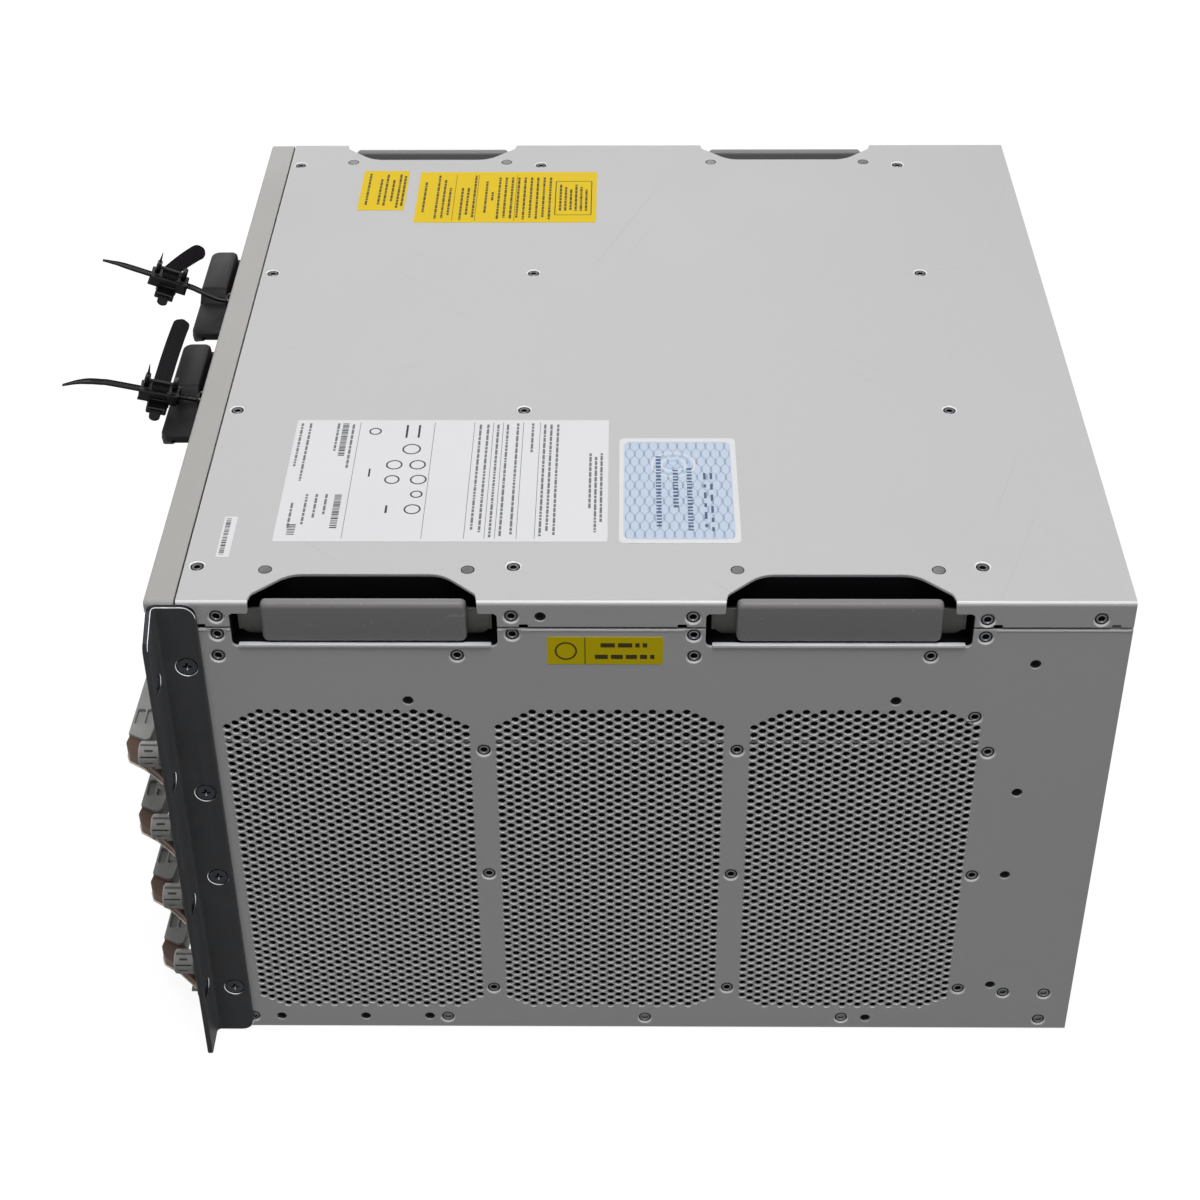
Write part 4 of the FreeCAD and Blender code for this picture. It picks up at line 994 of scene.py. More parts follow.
def lever_form():
    """Right-hand ejector lever about its slot's centre: grey finger arm, brown root and tan edge."""
    arm = [(138.0, -21.4), (141.2, -25.2), (178.0, -26.1), (185.2, -26.3), (191.0, -15.8), (182.0, -14.8),
           (141.0, -14.5), (138.0, -17.2)]
    arm = corners(arm, [1.5, 2.0, 6.0, 0.5, 2.2, 3.0, 1.5, 1.5], 4)
    grips = [rectangle(167.4, 178.4, y, y + 3.7, 1.2, 3) for y in (-24.7, -19.9)]
    root = [(184.4, -26.0), (189.8, -26.9), (196.8, -24.6), (205.0, -14.8), (212.5, -7.4), (216.5, -4.6),
            (220.2, -4.3), (220.2, -2.6), (203.0, -2.4), (196.0, -6.0), (189.6, -15.2)]
    root = corners(root, [0.4, 3.0, 6.0, 8.0, 3.0, 1.0, 0.6, 0.6, 2.0, 5.0, 0.4], 7)
    pin = circle(206.0, -5.5, 1.57, 16)
    rim = corners([(138.6, -21.0), (141.6, -24.6), (180.0, -25.6), (189.9, -27.3), (197.2, -24.9),
                   (205.6, -15.1), (213.0, -7.8), (216.8, -4.9), (205.0, -3.0), (196.0, -6.8),
                   (184.5, -15.1), (141.0, -15.1), (138.6, -17.4)],
                  [1.5, 2.0, 6.0, 3.0, 6.0, 8.0, 3.0, 1.0, 2.0, 5.0, 3.0, 1.5, 1.5], 7)

    def tapered(z):
        """The root's underside rises towards its pivot."""
        start, run, rise = 191.0, 12.0, 0.49

        def place(p):
            share = min(max((p[0] - start) / run, 0.0), 1.0)
            return p[0], p[1], LEVER_STEP + (z + p[2] - LEVER_STEP) * (1 - rise * share)
        return place
    body = LEVER_LOW + 1.2
    form = Form().add(plate([arm] + grips, 1.8, 0.3), "lever_grey", moved(dz=LEVER_HIGH - 1.8))
    form.add(plate([arm], LEVER_HIGH - LEVER_LOW - 3.0, 0.3), "lever_grey", moved(dz=body))
    form.add(plate([root, pin], LEVER_STEP - body, 0.5), "lever_brown", tapered(body))
    return form.add(plate([rim], 1.5, 0.4), "lever_tan", tapered(LEVER_LOW))


KNOB_R, KNOB_GROOVE_R, KNOB_LINES = 6.1, 5.4, 12


def knob_ring(y, radius, long_groove, short_groove):
    """Outline of the knob at one place along its axis; long and short grooves take turns."""
    points = []
    for k in range(KNOB_LINES):
        depth = KNOB_R - KNOB_GROOVE_R if (short_groove if k % 2 else long_groove) else 0.0
        for part, cut in ((0.0, 0.0), (0.22, 0.0), (0.42, 0.0), (0.6, 0.0), (0.68, depth), (0.92, depth)):
            a = 2 * math.pi * (k + part) / KNOB_LINES
            points.append(((radius - cut) * math.cos(a), y, (radius - cut) * math.sin(a)))
    return points


def knob_shading(face):
    """The grooves' bottoms are painted darker, as painted shade."""
    low = [p for p in face if math.hypot(p[0], p[2]) < KNOB_GROOVE_R + 0.05]
    grooved = all(-14.5 < p[1] < -6.0 for p in face)
    return "knob_shade" if len(low) >= 3 and grooved else "knob_grey"


def knob_form():
    """Grooved thumb screw about its own axis: hollow behind, slotted across its face, steel shank."""
    rings = [knob_ring(y, r, *grooves) for y, r, *grooves in (
        (-7.8, 4.9, 0, 0), (-5.6, 4.9, 0, 0), (-5.6, 5.8, 0, 0), (-5.9, KNOB_R, 0, 0), (-6.4, KNOB_R, 0, 0),
        (-6.6, KNOB_R, 1, 0), (-8.3, KNOB_R, 1, 0), (-8.6, KNOB_R, 1, 1), (-12.2, KNOB_R, 1, 1),
        (-12.5, KNOB_R, 1, 0), (-14.2, KNOB_R, 1, 0), (-14.4, KNOB_R, 0, 0), (-14.9, 5.9, 0, 0),
        (-15.3, 5.3, 0, 0), (-15.3, 4.4, 0, 0))]
    form = Form().add(loft(rings, capped=False), knob_shading)
    form.add((rings[0], [tuple(range(len(rings[0])))]), "knob_grey")
    face, slot = circle(0, 0, 4.5, 32), rectangle(-3.6, 3.6, -0.6, 0.6, 0.2, 2)
    form.add(plate([face, slot], 1.4, 0.12), "knob_grey", upright(-15.15))
    form.add(disc(4.2, -13.9), "dark_zinc", upright(0.0))
    for profile in ([(2.05, 7.0), (2.05, -7.4), (1.6, -7.7)],
                    [(3.4, 7.05), (3.6, 6.9), (3.6, 6.5), (3.3, 6.4)]):
        form.add(lathe(profile), "zinc", upright(0.0))
    return form


def module_fittings():
    lever, knob = lever_form(), knob_form()
    turns = {"right": None, "left": mirrored(MIRROR / 2)}
    for x, z, words in knob_places():
        made, screw = "tray_thumb_screw_{}", "fan_tray_screw_{}"
        if len(words) == 2:
            made, screw = "thumb_screw_{}_{}", "module_{}_screw_{}"
            name = "module_{}_lever_{}".format(*words)
            fitted = Form().join(Form().join(lever, turns[words[1]]), moved(dz=z - KNOB_RISE))
            piece("ejector_{}_{}".format(*words), fitted, name, "lever_plastic", name)
        name = screw.format(*words)
        piece(made.format(*words), Form().join(knob, moved(x, 0.0, z)), name, "knob_plastic", name)


# ------------------------------------------------------------------ power supplies

SUPPLY_X = {2: BAY_X[1], 3: BAY_X[2]}
TIE_DX, TIE_Z = 5.0, 260.4
TIE_LINES = {
    2: [(0.4, TIE_Z), (-5.0, 261.2), (-9.0, 262.6), (-20.0, 268.6), (-56.0, 282.4), (-64.5, 284.6)],
    3: [(0.4, TIE_Z), (-4.0, 261.0), (-9.0, 262.0), (-46.0, 270.4), (-58.0, 271.2), (-68.3, 268.8)],
}
CLIP_RUNS = {2: 3, 3: 2}            # the clip rides on the run that starts at this point
PAD_Z, PLATE_Z = 261.5, 255.8
HANDLE_LEFT, HANDLE_RIGHT, HANDLE_FRONT = -49.4, 31.0, -18.0
TAIL, TOOTH_START, TOOTH_PITCH = 13.0, 8.0, 1.1      # lengths along a tie


def rounded_box(x0, x1, y0, y1, radii, levels):
    """Stack of rounded outlines; each level is (z, inset, extra inset of the right end)."""
    rings = []
    for z, step, right in levels:
        loop = rectangle(x0 + step, x1 - step - right, y0 + step, y1 - step,
                         [max(r - step * 0.5, 0.3) for r in radii], 5)
        rings.append([(x, y, z) for x, y in loop])
    return loft(rings)


def supply_handle():
    """Pull handle about its bay's centre: low plate, raised pad at the left, turned-down lip."""
    form = Form()
    form.add(rounded_box(HANDLE_LEFT, HANDLE_RIGHT, HANDLE_FRONT, 0.4, [5.0, 6.0, 0.3, 0.3],
                         [(PLATE_Z - 4.4, 0.9, 0.0), (PLATE_Z - 3.4, 0.0, 0.0), (PLATE_Z - 1.3, 0.0, 0.0),
                          (PLATE_Z - 0.4, 0.35, 0.0), (PLATE_Z, 1.2, 0.0)]), "handle_black")
    form.add(rounded_box(HANDLE_LEFT + 1.6, 0.4, -17.9, -3.4, [4.6, 1.5, 1.5, 3.2],
                         [(PLATE_Z - 0.6, 0.0, 0.0), (PLATE_Z + 0.5, 0.05, 1.6), (PAD_Z - 2.6, 0.15, 4.2),
                          (PAD_Z - 1.0, 0.35, 5.4), (PAD_Z - 0.3, 0.9, 6.0), (PAD_Z, 1.9, 6.4)]),
             "handle_black")
    rings, steps, radius, low, rise, run = [], 24, 5.0, 241.0, 10.3, 24.0
    for k in range(steps + 1):
        rel = HANDLE_LEFT + (HANDLE_RIGHT - HANDLE_LEFT) * k / steps
        edge = min(rel - HANDLE_LEFT, HANDLE_RIGHT - rel)
        # the lip follows the plate's round corners and rises towards both ends
        turned = max(radius - edge, 0.0)
        reach = HANDLE_FRONT + (radius - math.sqrt(max(radius ** 2 - turned ** 2, 0.0)))
        drop = low + rise * (1 - math.sin(QUARTER * min(edge / run, 1.0)))
        section = [(reach, PLATE_Z - 2.4), (reach + 0.05, (PLATE_Z + drop) / 2), (reach + 0.4, drop + 0.5),
                   (reach + 1.1, drop), (reach + 1.9, drop + 0.4), (reach + 2.3, drop + 1.6),
                   (reach + 2.6, PLATE_Z - 4.0), (reach + 2.6, PLATE_Z - 2.4)]
        rings.append([(rel, y, z) for y, z in section])
    form.add(loft(rings), "handle_black")
    form.blocks("handle_black", (-43.5, 27.5, -0.8, 1.0, 243.5, 253.5))
    for rel in (-36.0, 20.0):
        form.join(flat_head("-y", (rel, -0.8, 247.6), 1.9))
    form.add(rounded_box(TIE_DX - 3.5, TIE_DX + 3.5, -2.9, 1.0, [1.2] * 4,
                         [(PLATE_Z - 0.5, 0.0, 0.0), (262.2, 0.0, 0.0), (262.9, 0.6, 0.0)]), "handle_black")
    return form


def tie_path(line):
    """The tie's line with its bends eased."""
    eased = [Vector(line[0])]
    for a, p, b in zip(line, line[1:], line[2:]):
        for q in (a, b):
            step = Vector(q) - Vector(p)
            eased.append(Vector(p) + step.normalized() * min(3.0, step.length * 0.35))
    return smooth_line(eased + [Vector(line[-1])], 5)


def along(path):
    """Each point of a line with its direction and the length run so far."""
    run = 0.0
    for i, p in enumerate(path):
        run += (p - path[i - 1]).length if i else 0.0
        yield p, (path[min(i + 1, len(path) - 1)] - path[max(i - 1, 0)]).normalized(), run


def rightward(d):
    """Normal to the right of a direction in the plane."""
    return Vector((d.y, -d.x))


def nylon_tie(line):
    """Toothed tie from its mount over the handle, with a tapered tail."""
    steps = list(along(tie_path(line)))
    total, rings = steps[-1][2], []
    for p, d, run in steps:
        share, n = max(0.0, (run - total + TAIL) / TAIL), rightward(d)
        w, t = 1.9 - 1.25 * share, 0.62 - 0.3 * share
        section = [(-w, -t), (w, -t), (w, t), (w - 0.4, t), (w - 0.45, t * 0.45), (-w + 0.45, t * 0.45),
                   (-w + 0.4, t), (-w, t)]
        rings.append([(a, p.x + n.x * b, p.y + n.y * b) for a, b in section])
    form = Form().add(loft(rings), "nylon_black")
    wanted = TOOTH_START
    for (p, d, run), (_, _, after) in zip(steps, steps[1:]):
        while run <= wanted < min(after, total - TAIL - 1.0):
            q, n = p + d * (wanted - run), rightward(d)
            tooth = [q + n * 0.2, q + n * 0.66, q + d * 0.7 + n * 0.2]
            form.add(loft([[(x, c.x, c.y) for c in tooth] for x in (-1.3, 1.3)]), "nylon_black")
            wanted += TOOTH_PITCH
    return form


def on_tie(line, run):
    """Level at the start of the tie's straight run, turned to lie along it."""
    (y0, z0), (y1, z1) = line[run:run + 2]
    slope = math.atan2(z1 - z0, y0 - y1)
    c, s = math.cos(slope), math.sin(slope)
    return lambda p: (p[0], y0 + c * p[1] + s * p[2], z0 - s * p[1] + c * p[2])


def retainer_clip():
    """Sliding sleeve about the run's start: slotted latch, two posts and a bar over the strap."""
    near, far = -2.4, -22.0
    form = Form().blocks("nylon_black", (-5.0, -2.3, far, near, -2.6, 2.4, 0.5, 2),
                         (2.3, 5.0, far, near, -2.6, 2.4, 0.5, 2),
                         (-2.6, 2.6, far + 0.4, near - 0.4, -2.6, -1.05),
                         (-2.6, 2.6, far + 0.4, near - 0.4, 1.05, 2.6),
                         (-5.6, 5.6, far - 0.3, near + 0.3, -3.1, -2.3, 0.25))
    window = plate([rectangle(far + 0.6, near - 0.6, -2.5, 2.7, 0.8, 3),
                    rectangle(far + 6.0, near - 5.6, -0.9, 1.5, 0.8, 3)], 0.8, 0.2)
    form.add(window, "nylon_black", facing("-x", (5.7, 0.0, 0.0)))
    form.blocks("nylon_black", (4.6, 5.3, far + 7.6, near - 6.0, -0.7, 1.1))
    for y in (far + 1.6, near - 4.2):
        form.blocks("nylon_black", (-5.6, 1.0, y, y + 2.6, 2.0, 7.0, 0.8, 2),
                    (-1.2, 1.8, y + 0.5, y + 2.1, 6.2, 8.2, 0.5, 2))
    form.blocks("nylon_black", (-1.4, 0.4, far + 2.0, near - 2.0, 4.9, 6.3, 0.4))
    spike = [[(x + a, far + 2.9 + b, z) for a, b in ((-w, -w), (w, -w), (w, w), (-w, w))]
             for x, w, z in ((-3.4, 0.7, 6.5), (-4.2, 0.45, 9.0), (-5.4, 0.15, 11.4))]
    form.add(loft(spike), "nylon_black")
    ribs = [(-5.6, -4.8, far + y, far + y + 1.3, -1.8, 1.8) for y in (5.0, 8.2, 11.4, 14.6)]
    return form.blocks("nylon_black", *ribs)


def strap_form(curled):
    """Hook-and-loop strap across the clip about the run's start, with its buckle and pull tab."""
    z, middle, half = 3.2, -12.2, 4.15
    if curled:
        spine = [(2.0, middle, z - 0.6), (-1.0, middle, z - 0.2), (-4.0, middle, z + 0.4),
                 (-8.0, middle + 2.2, z + 2.2), (-12.5, middle + 5.4, z + 4.6),
                 (-17.0, middle + 9.0, z + 7.0), (-21.0, middle + 12.4, z + 8.6)]
    else:
        spine = [(2.0, middle, z - 0.6), (-2.0, middle, z), (-10.0, middle, z + 0.3),
                 (-26.0, middle, z + 0.6), (-44.0, middle + 0.4, z + 1.6), (-60.0, middle + 1.2, z + 3.0)]
    steps = list(along(smooth_line(spine, 12)))
    total, rings, t = steps[-1][2], [], 0.75
    for p, d, run in steps:
        across = Vector((0.0, 0.0, 1.0)).cross(d).normalized()
        n = d.cross(across)
        lean = (0.5 if curled else 0.06) * max(0.0, run - 8.0) / (total - 8.0)
        across, n = across * math.cos(lean) + n * math.sin(lean), n * math.cos(lean) - across * math.sin(lean)
        left = total - run
        w = half * math.sqrt(max(1 - ((half - left) / half) ** 2, 0.03)) if left < half else half
        section = [(-w, -t * 0.6), (-w * 0.85, -t), (w * 0.85, -t), (w, -t * 0.6), (w, t * 0.6),
                   (w * 0.85, t), (-w * 0.85, t), (-w, t * 0.6)]
        rings.append([tuple(p + across * a + n * b) for a, b in section])
    form = Form().add(loft(rings), "strap_loops")
    low = z - 10.0
    form.blocks("nylon_black", (1.5, 10.0, middle - 4.9, middle + 4.9, low, low + 3.6, 0.5),
                (2.4, 3.8, middle - 5.3, middle + 5.3, low + 0.6, low + 3.2, 0.4))
    form.blocks("strap_loops", (-1.6, 3.0, middle - 3.6, middle + 3.6, low + 1.2, z + 0.2, 0.6))
    root = 9.0
    tab = rectangle(root, 15.8, middle - 2.7, middle + 2.7, [0.3, 2.6, 2.6, 0.3], 6)
    return form.add(plate([tab], 1.5, 0.4), "nylon_black",
                    lambda p: (p[0], p[1], low + 2.6 - 0.2 * (p[0] - root) - p[2]))


def power_supplies():
    handle = supply_handle()
    for number, x in SUPPLY_X.items():
        name, line = f"supply_{number}", TIE_LINES[number]
        lie = on_tie(line, CLIP_RUNS[number])
        piece(f"pull_handle_{number}", Form().join(handle, moved(x)), name, "handle_plastic",
              f"{name}_handle")
        parts = ((f"toothed_tie_{number}", nylon_tie(line), name, "tie_nylon", f"{name}_tie"),
                 (f"tie_clip_{number}", Form().join(retainer_clip(), lie), f"{name}_retainer",
                  "tie_nylon", f"{name}_clip"),
                 (f"cord_strap_{number}", Form().join(strap_form(number == 2), lie),
                  f"{name}_retainer", "strap_fabric", f"{name}_strap"))
        for piece_name, form, body, slot, node in parts:
            piece(piece_name, Form().join(form, moved(x + TIE_DX)), body, slot, node)
        piece(f"supply_front_{number}", Form().join(supply_front(), moved(x)), name, "supply_metal")


def supply_front():
    """Inlet pins, fan guards and the status lamp on a supply's face."""
    pins = [(x - 0.9, x + 0.9, 3.5, 21.0, z - 2.4, z + 2.4)
            for x, z in ((-2.0, 217.0), (12.0, 217.0), (5.0, 223.5))]
    form = Form().blocks("zinc", *pins).blocks("port_black", (-9.6, 19.6, 19.0, 20.9, 208.4, 229.6, 0.2))
    surround = rectangle(-13.0, 23.0, 205.0, 233.0, 1.5)
    mouth = rectangle(-10.0, 20.0, 208.0, 230.0, [4.0, 4.0, 0.6, 0.6])
    form.add(plate([surround, mouth], 1.2, 0.3), "port_black", upright(-0.6, -1))
    guard_x, wire = -29.0, 1.0
    for z in (205.0, 234.0):
        for radius in (12.6, 9.4, 6.2, 3.0):
            ring = plate([circle(guard_x, z, r, 32) for r in (radius, radius - wire)], 0.9, 0.25)
            form.add(ring, "dark_zinc", upright(0.4))
        for angle in (QUARTER / 2, QUARTER * 1.5):
            c, s = math.cos(angle), math.sin(angle)
            bar = block(-12.8, 12.8, 0.3, 1.0, -0.6, 0.6, 0.2)
            form.add(bar, "dark_zinc", lambda p, c=c, s=s, z=z: (guard_x + p[0] * c - p[2] * s, p[1],
                                                                   z + p[0] * s + p[2] * c))
    for z in (194.0, 197.5):
        lens = lathe([(1.3, 0.0), (1.3, 0.5), (0.9, 0.9)], 12)
        form.add(lens, "light_pipe", facing("-y", (36.0, 1.0, z)))
    return form


FAN_X, FAN_Y, FAN_Z = -212.5, (86.6, 200.75, 315.2), (50.5, 135.5)
BLADES, BLADE_STEPS, BLADE_ROOT, BLADE_TIP, BLADE_MIDDLE = 7, 7, 16.0, 38.6, 13.0


def blade_section(base, share):
    """Outline of a blade at a share of its length from the hub, in (y, z, x)."""
    r = BLADE_ROOT + (BLADE_TIP - BLADE_ROOT) * share
    lean, half, twist = base + 0.30 * share ** 1.5, 11.0 - 1.5 * share, 0.62 - 0.28 * share
    section = []
    for along, thick in ((-1, 0.15), (-0.6, 0.75), (0, 1.0), (0.6, 0.7), (1, 0.12), (0.6, -0.7), (0, -1.0),
                         (-0.6, -0.75)):
        d, t = along * half, thick * 0.85
        bow = 0.14 * (1 - along ** 2)
        angle = lean + d * twist / r + bow * 0.3 + t * 0.9 / r
        section.append((r * math.cos(angle), r * math.sin(angle), BLADE_MIDDLE + d * 0.92))
    return section


def rotors():
    """Fan rotors: cup-shaped hub with a raised disc and seven curved, twisted blades."""
    hub = lathe([(1.56, 1.5), (15.4, 1.5), (16.4, 0.4), (16.5, 0.0), (16.5, 24.0), (15.6, 25.6), (12.0, 26.0),
                 (11.4, 25.4), (1.56, 25.4)], 40)
    blades = [loft([blade_section(2 * math.pi * k / BLADES, s / BLADE_STEPS) for s in range(BLADE_STEPS + 1)])
              for k in range(BLADES)]
    for number, (z, y) in enumerate([(z, y) for z in FAN_Z for y in FAN_Y], start=1):
        form, name = Form(), f"fan_rotor_{number}"
        for shape in [hub] + blades:
            form.add(shape, "rotor_black", facing("+x", (FAN_X, y, z)))
        piece(f"fan_wheel_{number}", form, name, "rotor_plastic", name)


# ------------------------------------------------------------------ labels

LABEL_T, INK_T = 0.14, 0.03         # thickness of a label and of its print


class Label(Form):
    """Adhesive films on one face of the case and the plain shapes that stand for their print."""

    def __init__(self, axis, origin):
        super().__init__()
        self.place = facing(axis, origin)

    def film(self, finish_name, a0, a1, b0, b1, radius=0.8, lift=0.0, thickness=LABEL_T):
        sheet = plate([rectangle(a0, a1, b0, b1, radius, 3)], thickness, 0.04)
        self.add(raised(sheet, lift + thickness), finish_name, self.place)

    def bars(self, finish_name, places, lift=LABEL_T):
        for a0, a1, b0, b1 in places:
            self.film(finish_name, a0, a1, b0, b1, 0.0, lift, INK_T)

    def band(self, finish_name, outer, inner):
        """Printed line between two loops."""
        self.add(raised(plate([outer, inner], INK_T, 0.0), LABEL_T + INK_T), finish_name, self.place)

    def ring(self, finish_name, x, y, radius, width):
        self.band(finish_name, circle(x, y, radius, 28), circle(x, y, radius - width, 28))


def print_block(seed, rows, height, words=(1.2, 5.0), gap=0.7):
    """Broken bars along rows of (y, x0, x1), as print looks from afar; they say nothing."""
    rng, places = random.Random(seed), []
    for y, x, end in rows:
        while x < end - 0.6:
            length = min(rng.uniform(*words), end - x)
            places.append((x, x + length, y - height / 2, y + height / 2))
            x += length + gap
    return places


def ruled(ys, x0, x1, width=0.25):
    return [(x0, x1, y - width / 2, y + width / 2) for y in ys]


def stripes(seed, x0, x1, y0, y1):
    """Field of uneven stripes."""
    rng, places, x = random.Random(seed), [], x0
    while x < x1:
        w = rng.uniform(0.3, 1.0)
        places.append((x, min(x + w, x1), y0, y1))
        x += w + rng.uniform(0.35, 0.8)
    return places


def side_labels():
    """Yellow label on the sides, divided at a third, with a plain ring and plain bars."""
    for side, axis, x, _ in on_sides():
        form = Label(axis, (x, 0.0, 0.0))
        # painted light: a brighter copy of the labels' yellow, so the label looks lit on the shaded side
        form.film("label_amber", 173.7, 224.2, 232.0, 247.1, 0.6)
        form.bars("print_dark", [(190.0, 190.4, 232.2, 246.9)])
        form.ring("print_dark", 181.9, 239.4, 4.9, 0.8)
        rows = [(242.6, 197.0, 218.5), (236.2, 194.5, 220.5)]
        form.bars("print_dark", print_block(2, rows, 2.3, words=(1.6, 6.5), gap=1.3))
        piece(f"side_label_{side}", form, "chassis", "cover_paint")


def waves(form, x0, x1, y0, y1, centre):
    """Fine wavy lines across a film, kept off its rim, and fine rings round a point: a plain pattern."""
    count, steps, half, rim = 22, 72, 0.09, 0.2
    for k in range(count):
        base, edges = y0 + (y1 - y0) * (k + 0.5) / count, ([], [])
        for s in range(steps + 1):
            x = min(max(x0 + (x1 - x0) * s / steps, x0 + rim), x1 - rim)
            y = min(max(base + 1.5 * math.sin(2 * math.pi * s / 12 + k * math.pi), y0 + rim), y1 - rim)
            for edge, step in zip(edges, (half, -half)):
                edge.append((x, y + step, LABEL_T + 0.02))
        form.add(loft(edges, closed=False, capped=False), "label_blue_pale", form.place)
    for k in range(4):
        radius = 3.0 + 2.2 * k
        rings = [[(a, b, LABEL_T + 0.04) for a, b in circle(*centre, r, 32)] for r in (radius, radius + 0.7)]
        form.add(loft(rings, capped=False), "label_white" if k % 2 else "label_sky", form.place)


def top_labels():
    roof = "+z", (0.0, 0.0, HEIGHT)
    form = Label(*roof)
    form.film("label_yellow", -187.5, -139.0, 57.8, 83.8)
    form.film("label_yellow", -186.0, -124.5, 90.3, 191.2)
    x0, x1, y0, y1, width = -174.5, -133.0, 167.9, 188.6, 0.55
    form.band("print_dark", rectangle(x0, x1, y0, y1, 0.6, 2),
              rectangle(x0 + width, x1 - width, y0 + width, y1 - width, 0.4, 2))
    rows = [(62.0, -183.8, -144.5), (68.8, -177.0, -146.0), (72.0, -182.7, -144.5), (75.8, -176.0, -150.0),
            (79.3, -183.0, -141.5), (82.0, -181.0, -143.0)]
    rows += [(94.5, -173.0, -136.5), (101.7, -181.6, -128.5), (105.3, -176.0, -129.5),
             (108.6, -166.0, -133.0), (115.5, -166.0, -127.5), (118.8, -166.0, -133.4),
             (122.4, -181.5, -129.5), (129.0, -174.0, -135.4), (132.6, -160.7, -149.5)]
    rows += [(136.2 + 3.6 * k, -179.0, -128.0 - 2.0 * (k % 2)) for k in range(9)]
    rows += [(171.0 + 2.9 * k, -170.0 + 3.0 * (k % 3), -138.0) for k in range(6)]
    form.bars("print_dark", print_block(3, rows, 1.25))
    form.bars("print_dark", ruled((111.3, 123.9, 145.7), -182.0, -126.5))
    piece("top_labels_yellow", form, "chassis", "cover_paint")

    form = Label(*roof)
    form.film("label_white", 78.0, 178.2, 50.5, 199.8)
    form.film("label_white", 158.9, 190.0, 27.0, 32.8, 0.4)
    form.bars("print_grey", ruled((81.0, 116.6, 135.6, 144.7, 149.4, 159.0, 167.1), 80.1, 175.9))
    rows = [(53.2, 81.0, 118.0), (57.2, 81.0, 130.0), (56.0, 148.0, 168.0), (62.0, 141.0, 165.0),
            (66.5, 141.0, 160.0), (71.0, 141.0, 158.0), (70.6, 81.0, 106.0), (77.8, 82.0, 120.0),
            (138.6, 82.0, 169.0), (142.2, 82.0, 171.0), (147.0, 82.0, 175.0), (151.6, 82.0, 174.0),
            (156.4, 81.0, 173.0), (163.6, 81.0, 106.0), (169.4, 82.0, 174.0), (172.4, 82.0, 170.0),
            (175.6, 82.0, 174.0), (191.4, 107.0, 153.0), (194.0, 110.0, 171.0), (196.6, 107.0, 163.0)]
    form.bars("print_grey", print_block(7, rows, 1.1))
    for seed, x0, x1, y0, y1 in ((1, 81.0, 109.0, 72.6, 75.6), (5, 141.4, 168.0, 74.8, 78.0),
                                 (6, 165.0, 173.0, 56.0, 59.6), (8, 160.5, 188.0, 28.0, 30.2)):
        form.bars("print_black", stripes(seed, x0, x1, y0, y1))
    for x, y, radius in ((88.0, 88.6, 3.0), (103.4, 107.0, 4.4), (116.7, 99.9, 3.9), (116.7, 110.8, 3.9),
                         (129.0, 99.8, 3.6), (129.0, 112.0, 3.9), (141.0, 112.0, 2.9), (153.0, 111.0, 3.9)):
        form.ring("print_black", x, y, radius, 0.75)
    form.bars("print_black", [(82.5, 93.5, 103.2, 104.2), (82.5, 93.5, 109.0, 110.0),
                              (150.0, 156.0, 98.6, 99.6), (120.0, 126.5, 88.4, 89.2)])
    piece("top_labels_white", form, "chassis", "cover_paint")

    form = Label(*roof)
    form.film("label_white", 93.9, 179.2, 204.9, 259.4, 2.5)
    form.film("label_blue", 96.9, 176.4, 206.9, 257.0, 3.5, LABEL_T - 0.02, 0.04)
    waves(form, 97.6, 175.8, 207.6, 256.4, (116.6, 230.0))
    rows = [(223.0, 109.5, 166.4), (230.8, 121.0, 153.0), (237.2, 119.5, 170.0)]
    form.bars("print_blue", print_block(14, rows, 2.4, words=(1.0, 1.9), gap=1.2), LABEL_T + INK_T)
    rows = [(244.2, 123.5, 170.0), (247.2, 123.5, 170.0)]
    form.bars("print_blue", print_block(15, rows, 1.2, words=(2.5, 5.5), gap=4.0), LABEL_T + INK_T)
    piece("top_label_blue", form, "chassis", "cover_paint")


# ------------------------------------------------------------------ module fronts

ROW_STEP = 0.866                    # height of a row as a share of the pitch


def honeycomb_vent(x0, x1, z0, z1, pitch=4.4, radius=1.7):
    """Hexagonal vent holes that fill a rectangle."""
    holes, angles = [], [math.radians(60 * i + 30) for i in range(6)]
    row, z = 0, z0 + radius
    while z <= z1 - radius + 1e-6:
        x = x0 + radius + (pitch / 2 if row % 2 else 0.0)
        while x <= x1 - radius + 1e-6:
            holes.append([(x + radius * math.cos(a), z + radius * math.sin(a)) for a in angles])
            x += pitch
        row += 1
        z += pitch * ROW_STEP
    return holes


MODULE_FACE, TRAY_FACE = -2.6, -2.5                  # depths of the perforated skins
BACKING = (-2.05, -1.95)                             # depths of the sheet behind them, painted dark as shade


def port_mouth(x, z, width, height, keyed):
    """Outline of a port's opening; a keyed one has the latch's notch below."""
    w, h = width / 2, height / 2
    if not keyed:
        return rectangle(x - w, x + w, z - h, z + h, 0.4, 2)
    return [(x - w, z + h), (x - w, z - h + 1.2), (x - w / 2, z - h + 1.2), (x - w / 2, z - h),
            (x + w / 2, z - h), (x + w / 2, z - h + 1.2), (x + w, z - h + 1.2), (x + w, z + h)]


